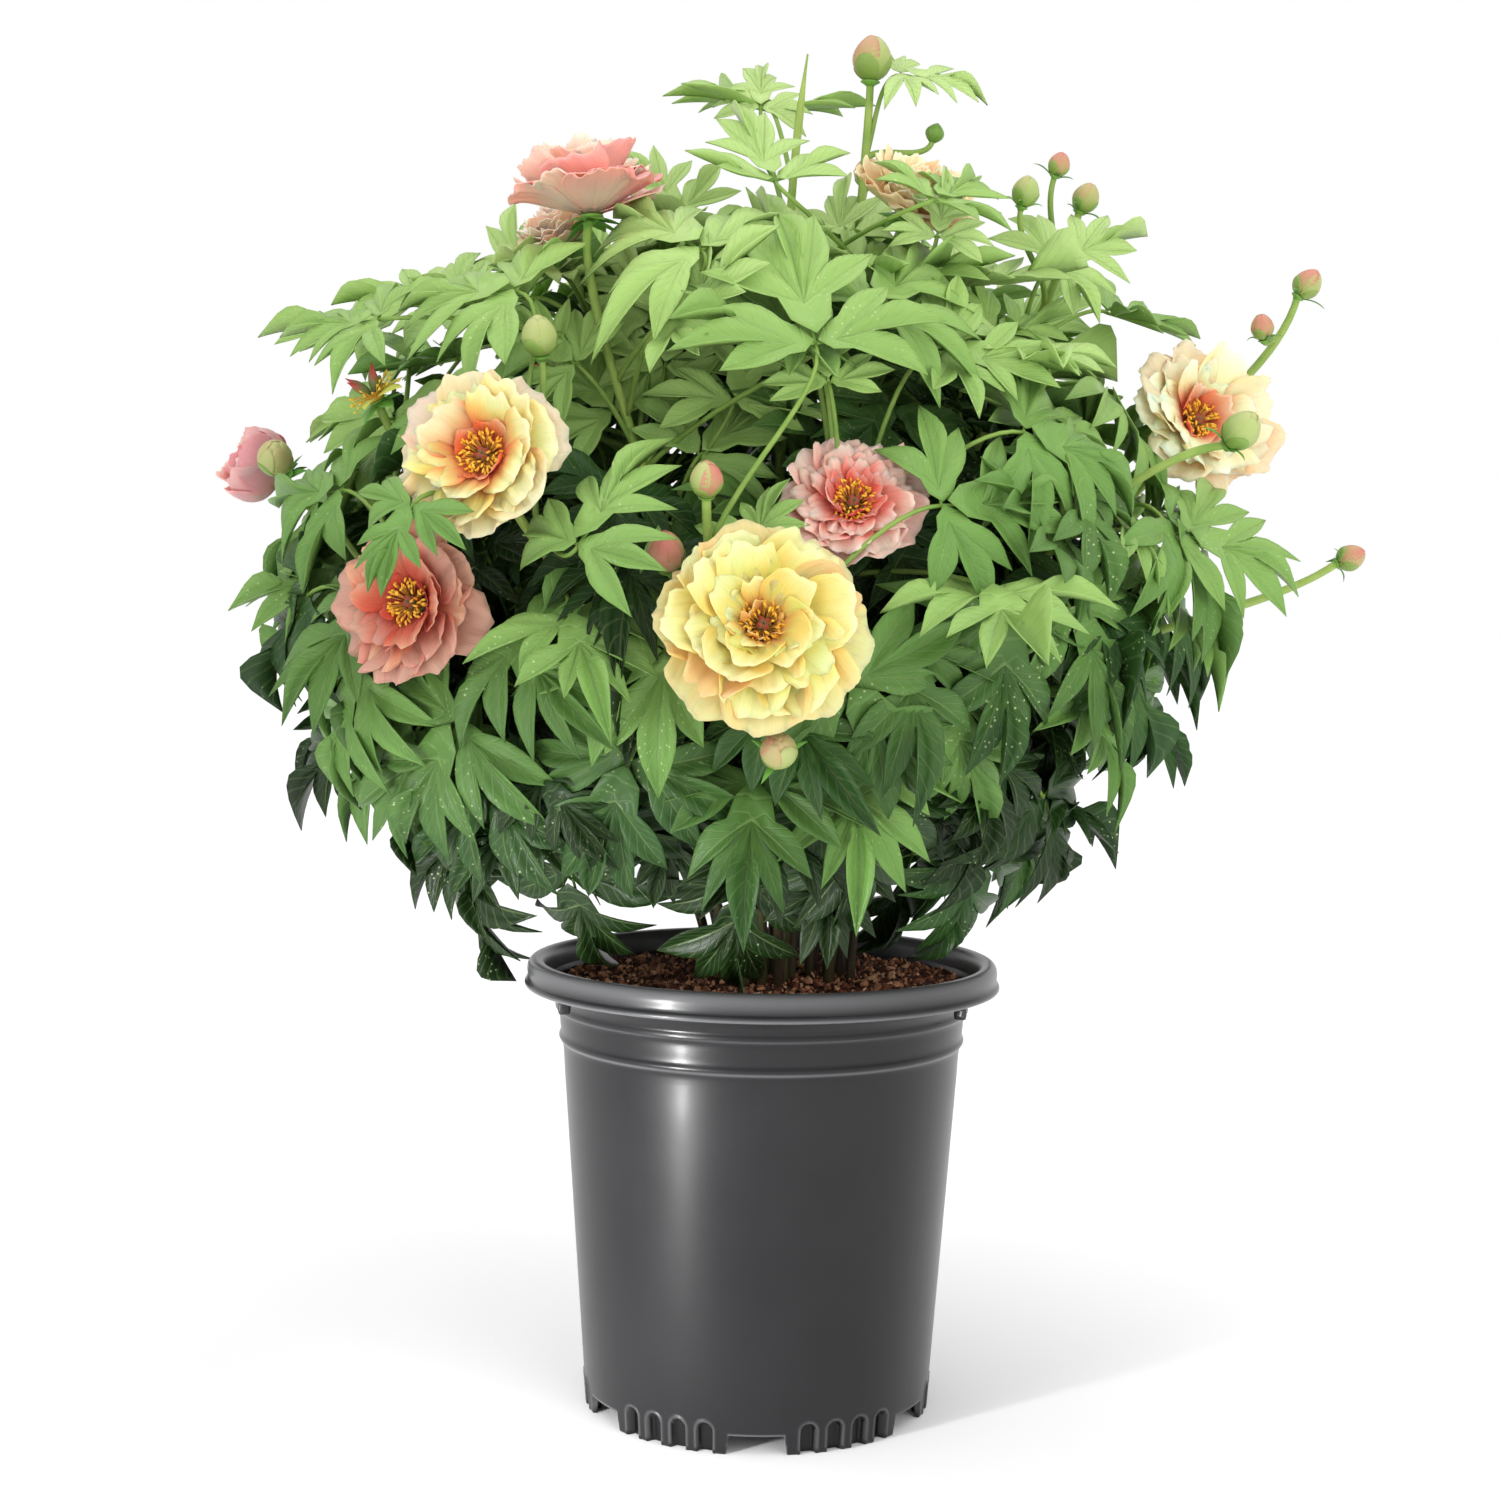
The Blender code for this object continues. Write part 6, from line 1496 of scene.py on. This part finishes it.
def thick(points, rows, columns, depth, **marks):
    """A closed blade: the sheet and a copy pushed in along its normals, joined round the rim."""
    du, dv = np.gradient(points, axis=0), np.gradient(points, axis=1)
    normal = np.cross(du, dv)
    normal /= np.maximum(np.linalg.norm(normal, axis=-1, keepdims=True), 1e-12)
    s = np.linspace(0, 1, rows)[:, None]
    t = np.linspace(0, 1, columns)[None, :]
    rim = (4 * s * (1 - s)) ** 0.5 * (4 * t * (1 - t)) ** 0.5
    depth = depth * np.minimum(1.0, 0.15 + 2.5 * rim)
    outer, inner = points + normal * depth[..., None] / 2, points - normal * depth[..., None] / 2
    faces = grid(rows, columns)
    count = rows * columns
    index = np.arange(count).reshape(rows, columns)
    loop = np.concatenate((index[0, :-1], index[:-1, -1], index[-1, :0:-1], index[:0:-1, 0]))
    near, far = loop, np.roll(loop, -1)
    wall = np.concatenate((
        np.stack((near, far, far + count), -1), np.stack((near, far + count, near + count), -1),
    ))
    every = np.concatenate((faces[:, ::-1], faces + count, wall))
    marks = {key: np.tile(np.broadcast_to(value, count), 2) for key, value in marks.items()}
    both = np.concatenate((outer.reshape(-1, 3), inner.reshape(-1, 3)))
    return facing_out(sheet_of(both, every, **marks))


def spent_sheets():
    """What is left of a bloom: red carpels with curled tips, old stamens and a scrap of petal."""
    centre, facing, size = SPENT_BLOOM
    seat, axis = seat_of(centre, facing, SPENT_BACK), unit(facing)
    across, up, _ = frame_of(facing)
    rng = np.random.default_rng(SPENT_SEED)
    foot = seat + axis * GAP
    base = foot + axis * np.linspace(0, 0.005, 5)[:, None]
    sheets = [tube(base, (0.0048, 0.0050, 0.0046, 0.0042, 0.0030), 16, along=0.5)]
    for k in range(4):
        a = math.pi / 2 * k + 0.4
        out = spoke(across, up, a)
        steps = np.linspace(0, 1, 14)[:, None]
        lean = out * 0.45 * size * 0.5 * MM * steps**1.3 * 1.4
        line = foot + axis * 0.003 + out * 0.0022 + axis * size * 0.46 * MM * steps + lean
        radii = carpel_radii(steps, 0.0026, 0.75, 0.18, 0.6, 0.6).ravel()
        sheets.append(tube(line, radii, 10, along=0.62 + 0.38 * steps.ravel()))
    for a, length, width in ((0.3, 0.021, 0.012), (1.5, 0.017, 0.011), (5.4, 0.014, 0.009)):
        out = spoke(across, up, a)
        base = foot + axis * 0.001 + out * 0.003
        sheets.append(blade_sheet(base, out, axis, length, width, 0.5, -0.5, 0.0006, along=0.12))
    for k in range(OLD_STAMENS):
        a = GOLDEN_ANGLE * k
        out = spoke(across, up, a)
        start = foot + axis * 0.0015 + out * 0.0036
        way = unit(axis * rng.uniform(0.1, 0.9) + out + rng.normal(0, 0.2, 3))
        end = start + way * size * rng.uniform(0.28, 0.42) * MM
        thread = bezier(start, start + axis * 0.003, end, end, 5)
        sheets.append(tube(thread, np.full(5, 0.0003), 3, along=0.22))
        tip = end + unit(end - start) * np.linspace(-0.001, 0.0014, 4)[:, None]
        sheets.append(tube(tip, (0.0002, 0.0006, 0.0006, 0.0002), 5, along=0.33))
    return sheets


# Settings, operators and panel

def colour_setting(name, description, code):
    """A colour setting whose default is an sRGB hex colour."""
    return bpy.props.FloatVectorProperty(
        name=name, description=description, subtype="COLOR", size=3, min=0.0, max=1.0,
        default=linear(code)[:3])


def length_setting(name, description, default, **limits):
    """A length setting in metres."""
    return bpy.props.FloatProperty(
        name=name, description=description, unit="LENGTH", default=default, **limits)


class PeonyPotSettings(bpy.types.PropertyGroup):
    """Sizes and colours of the pot"""
    plastic_colour: colour_setting("Plastic", "Colour of the moulded pot", "#151517")
    relief: length_setting(
        "Recess depth", "Depth of the arched recesses round the foot", 0.0044, min=0.0, max=0.006)


class PeonyMixSettings(bpy.types.PropertyGroup):
    """Sizes and colours of the potting mix"""
    bit_count: bpy.props.IntProperty(
        name="Bits", description="How many bark bits lie on the mix", default=5200, min=0, max=9000)
    bit_size: length_setting("Bit size", "Typical length of a bark bit", 0.0031)
    dark_bark: colour_setting("Dark bark", "Colour of the darkest bits", "#160d0b")
    light_bark: colour_setting("Light bark", "Colour of the light bits", "#d29a74")


class PeonyPlantSettings(bpy.types.PropertyGroup):
    """Sizes and colours of the stems and leaves"""
    leaf_length: length_setting("Leaf length", "Length of a leaf from its fork", 0.064)
    fold: bpy.props.FloatProperty(
        name="Fold", description="How steeply a lobe rises from its rib", default=0.46, min=0.0, max=1.0)
    spacing: length_setting("Spacing", "Least distance between the forks of leaves", 0.034)
    blade: length_setting("Blade", "Thickness of a leaf", 0.0005)
    stem_radius: length_setting("Stem radius", "Radius of a stem at its foot", 0.0031)
    # The green of the low leaves is partly painted shade, and the green of the top leaves partly painted
    # light.
    old_and_shaded_green: colour_setting("Old and shaded green", "Colour of the lowest leaves", "#2e5022")
    mid_green: colour_setting("Middle green", "Colour of most leaves", "#6d9649")
    young_and_lit_green: colour_setting("Young and lit green", "Colour of the top leaves", "#a0c26c")
    stem_green: colour_setting("Stem green", "Colour of the stems", "#7fa045")


class PeonyFlowerSettings(bpy.types.PropertyGroup):
    """Sizes of the petals"""
    petal: length_setting("Petal", "Thickness of a petal", 0.0004)
    ruffle: bpy.props.FloatProperty(
        name="Ruffle", description="How strongly the petals' edges wave", default=1.0, min=0.0, max=2.0)


class PeonyStageSettings(bpy.types.PropertyGroup):
    """Strengths of the studio's lights"""
    key_power: bpy.props.FloatProperty(
        name="Strip light", description="Power of the tall soft light at the front left", default=9.2)
    low_power: bpy.props.FloatProperty(
        name="Low strip", description="Power of the low light that shines in the pot's wall", default=1.0)
    fill_power: bpy.props.FloatProperty(
        name="Fill panel", description="Power of the soft light at the front right", default=16.0)
    roof: bpy.props.FloatProperty(
        name="Roof", description="Brightness that the studio's white roof adds", default=1.2)
    wall: bpy.props.FloatProperty(
        name="Wall", description="Brightness of the studio's upper wall", default=0.45)


class PEONY_OT_pot(bpy.types.Operator):
    """Make the nursery pot with its rolled lip, ridges, lugs and recessed foot"""
    bl_idname = "peony.pot"
    bl_label = "Pot"

    def execute(self, context):
        settings = context.scene.peony_pot
        sheets = [pot_sheet(settings.relief)] + [lug_sheet(bearing) for bearing in (-60, 60, 180)]
        make_piece("pot_shell", sheets, moulded_plastic(settings), ("pot",))
        return {"FINISHED"}


class PEONY_OT_mix(bpy.types.Operator):
    """Make the potting mix and the bark bits on it"""
    bl_idname = "peony.mix"
    bl_label = "Potting mix"

    def execute(self, context):
        settings = context.scene.peony_mix
        bark = bark_material(settings)
        make_piece("mix_body", [mix_sheet()], bark, ("potting_mix",))
        bits = bits_sheet(settings.bit_count, settings.bit_size, BITS_SEED)
        make_piece("mix_bits", [bits], bark, ("potting_mix",), flat=True)
        return {"FINISHED"}


class PEONY_OT_stems_and_leaves(bpy.types.Operator):
    """Make the stems with their leaves, stalks, cups and sepals"""
    bl_idname = "peony.stems_and_leaves"
    bl_label = "Stems and leaves"

    def execute(self, context):
        settings = context.scene.peony_plant
        skin, green = stem_material(settings), leaf_material(settings)
        seats = tip_seats()
        roots = root_places(seats)
        paths = {n: stem_path(n, roots[n], *seats[STEMS[n][0]], STEM_POINTS) for n in STEMS}
        blades = {n: [] for n in STEMS}
        stalks = {n: stem_sheets(n, paths[n], seats, settings) for n in STEMS}
        bare, flowers = paths[BARE_STEM][paths[BARE_STEM][:, 2] > BARE_FROM], seen_flowers()
        taken, leaves = [], []
        for number, row in enumerate(LEAVES):
            for turn, draw, stem in row[4]:
                leaf = leaf_draw(number, turn, row, draw)
                new = clearest_blades(leaf, flowers, bare, settings)
                taken.append(leaf["fork"])
                leaves.append((stem, leaf, *new))
        extra = placed_leaves(settings)
        taken += [row[0]["fork"] for row in extra]
        for count, share, seed, tones in FILLERS:
            extra += filler_leaves(count, share, taken, flowers, bare, seed, tones, settings)
        for leaf, new, hubs in extra:
            below = stalk_aim(leaf)
            stem = min(paths, key=lambda n: np.linalg.norm(nearest_on(paths[n], below) - below))
            leaves.append((stem, leaf, new, hubs))
        for stem, leaf, new, hubs in leaves:
            blades[stem] += new
            stalks[stem] += leaf_stalks(leaf, hubs, paths[stem], settings)
        for n in STEMS:
            name = f"leafy_stem_{n:02d}"
            make_piece(f"stem_{n:02d}_stalks", stalks[n], skin, (name,))
            if blades[n]:
                make_piece(f"stem_{n:02d}_leaves", blades[n], green, (name,), settings.blade)
        return {"FINISHED"}


class PEONY_OT_blooms(bpy.types.Operator):
    """Make the blooms with their ruffled petals and hearts, and the spent bloom"""
    bl_idname = "peony.blooms"
    bl_label = "Blooms"

    def execute(self, context):
        settings = context.scene.peony_flower
        heart = heart_material()
        for name, (centre, facing, size, _, shows, _, _, colours) in BLOOMS.items():
            colour = PETAL_SLOTS.get(name, "peach")
            material = petal_material(f"peony_petal_{colour}_{name[-2:]}", colours)
            make_piece(f"{name}_corolla", bloom_sheets(name, settings.ruffle), material,
                       (name + "_petals",), settings.petal)
            if shows:
                axis = unit(facing)
                foot = seat_of(centre, facing, BLOOM_BACK * size * MM) + axis * (CORE_HEIGHT + GAP)
                rng = np.random.default_rng((HEART_SEED, int(name[-2:])))
                tuft = heart_sheets(foot, facing, rng)
                make_piece(f"{name}_heart", tuft, heart, (name + "_stamens",))
        make_piece("spent_head", spent_sheets(), heart, ("spent_bloom",))
        return {"FINISHED"}


class PEONY_OT_buds(bpy.types.Operator):
    """Make the closed buds with their wrapped petals"""
    bl_idname = "peony.buds"
    bl_label = "Buds"

    def execute(self, context):
        skin = bud_material()
        for name in BUDS:
            make_piece(f"{name}_wrapped", bud_sheets(name), skin, (name,))
        return {"FINISHED"}


def lay_floor(scene):
    """A round floor of pale studio paper just below the pot's foot."""
    floor = bpy.data.objects.new("floor", bpy.data.meshes.new("floor"))
    a = circle(64)
    ring = np.stack((40 * np.cos(a), 40 * np.sin(a), 0 * a - 0.0002), -1)
    floor.data.from_pydata([tuple(p) for p in ring], [], [tuple(range(64))])
    scene.collection.objects.link(floor)
    paper, _, shader = new_material("white_studio_paper", Roughness=0.9)
    shader.inputs["Base Color"].default_value = linear("#f8f8f8")
    floor.data.materials.append(paper)


def light_studio(scene, settings):
    """A white world whose brightness falls off at the upper wall and rises again at the roof."""
    world = bpy.data.worlds.new("studio")
    world.use_nodes = True
    tree = world.node_tree
    sky = tree.nodes["Background"]
    sky.inputs["Color"].default_value = (1.0, 1.0, 1.0, 1.0)
    way = node(tree, "ShaderNodeTexCoord")
    high = node(tree, "ShaderNodeSeparateXYZ", links={"Vector": (way, "Generated")})
    wall, roof = (
        node(tree, "ShaderNodeMapRange", levels, {"Value": (high, "Z")}, interpolation_type="SMOOTHSTEP")
        for levels in (
            {"From Min": 0.27, "From Max": 0.40, "To Min": 1.0, "To Max": settings.wall},
            {"From Min": 0.45, "From Max": 0.90, "To Max": settings.roof},
        )
    )
    total = node(tree, "ShaderNodeMath", {}, {0: (wall, "Result"), 1: (roof, "Result")}, operation="ADD")
    plug(tree, sky, {"Strength": (total, 0)})
    scene.world = world


def hang_lamps(scene, settings):
    """Soft lights by name, place, aim, width, height, spread in degrees and power. The fill panel
    isn't mirrored in the pot, where it would show as one more strip."""
    lights = (
        ("tall_strip", (-1.55, -1.72, 1.15), (0, 0, 0.42), 0.38, 1.5, 180, settings.key_power),
        ("low_strip", (-0.42, -0.47, 0.13), (0, 0, 0.10), 0.05, 0.22, 70, settings.low_power),
        ("fill_panel", (1.15, -1.85, 0.95), (0, 0, 0.45), 1.2, 1.2, 180, settings.fill_power),
    )
    for name, place, aim, wide, tall, spread, power in lights:
        light = bpy.data.lights.new(name, "AREA")
        light.shape, light.size, light.size_y, light.energy = "RECTANGLE", wide, tall, power
        light.spread = math.radians(spread)
        lamp = bpy.data.objects.new(name, light)
        lamp.location = place
        lamp.rotation_euler = (Vector(aim) - Vector(place)).to_track_quat("-Z", "Y").to_euler()
        lamp.visible_camera = False
        lamp.visible_glossy = name != "fill_panel"
        scene.collection.objects.link(lamp)


def set_camera(scene):
    """The photo's camera."""
    camera = bpy.data.cameras.new("camera")
    camera.sensor_width, camera.lens = 36.0, 36.0 * EYE_FOCAL
    camera.clip_start, camera.clip_end = 0.05, 200.0
    eye = bpy.data.objects.new("camera", camera)
    eye.location = EYE
    look = Vector((0.0, math.cos(EYE_PITCH), -math.sin(EYE_PITCH)))
    eye.rotation_euler = look.to_track_quat("-Z", "Y").to_euler()
    eye.rotation_euler.rotate_axis("Z", EYE_ROLL)
    scene.collection.objects.link(eye)
    scene.camera = eye


class PEONY_OT_stage(bpy.types.Operator):
    """Make the pale floor, the soft studio light and the camera"""
    bl_idname = "peony.stage"
    bl_label = "Stage"

    def execute(self, context):
        scene = context.scene
        scene.view_settings.view_transform = "Standard"
        lay_floor(scene)
        light_studio(scene, scene.peony_stage)
        hang_lamps(scene, scene.peony_stage)
        set_camera(scene)
        return {"FINISHED"}


class PEONY_PT_panel(bpy.types.Panel):
    """Peony sidebar panel"""
    bl_idname = "PEONY_PT_panel"
    bl_label = "Potted peony"
    bl_space_type = "VIEW_3D"
    bl_region_type = "UI"
    bl_category = "Peony"

    def draw(self, context):
        rows = (
            ("peony_pot", ("peony.pot",)), ("peony_mix", ("peony.mix",)),
            ("peony_plant", ("peony.stems_and_leaves",)),
            ("peony_flower", ("peony.blooms", "peony.buds")), ("peony_stage", ("peony.stage",)),
        )
        for group, operators in rows:
            box = self.layout.box()
            settings = getattr(context.scene, group)
            for key in settings.__annotations__:
                box.prop(settings, key)
            for name in operators:
                box.operator(name)


GROUPS_OF_SETTINGS = {
    "peony_pot": PeonyPotSettings, "peony_mix": PeonyMixSettings, "peony_plant": PeonyPlantSettings,
    "peony_flower": PeonyFlowerSettings, "peony_stage": PeonyStageSettings,
}
CLASSES = (
    *GROUPS_OF_SETTINGS.values(), PEONY_OT_pot, PEONY_OT_mix, PEONY_OT_stems_and_leaves, PEONY_OT_blooms,
    PEONY_OT_buds, PEONY_OT_stage, PEONY_PT_panel,
)


def register():
    for each in CLASSES:
        bpy.utils.register_class(each)
    for name, group in GROUPS_OF_SETTINGS.items():
        setattr(bpy.types.Scene, name, bpy.props.PointerProperty(type=group))


def unregister():
    for name in GROUPS_OF_SETTINGS:
        delattr(bpy.types.Scene, name)
    for each in reversed(CLASSES):
        bpy.utils.unregister_class(each)


def main():
    register()
    bpy.ops.peony.pot()
    bpy.ops.peony.mix()
    bpy.ops.peony.stems_and_leaves()
    bpy.ops.peony.blooms()
    bpy.ops.peony.buds()
    bpy.ops.peony.stage()


if __name__ == "__main__":
    main()
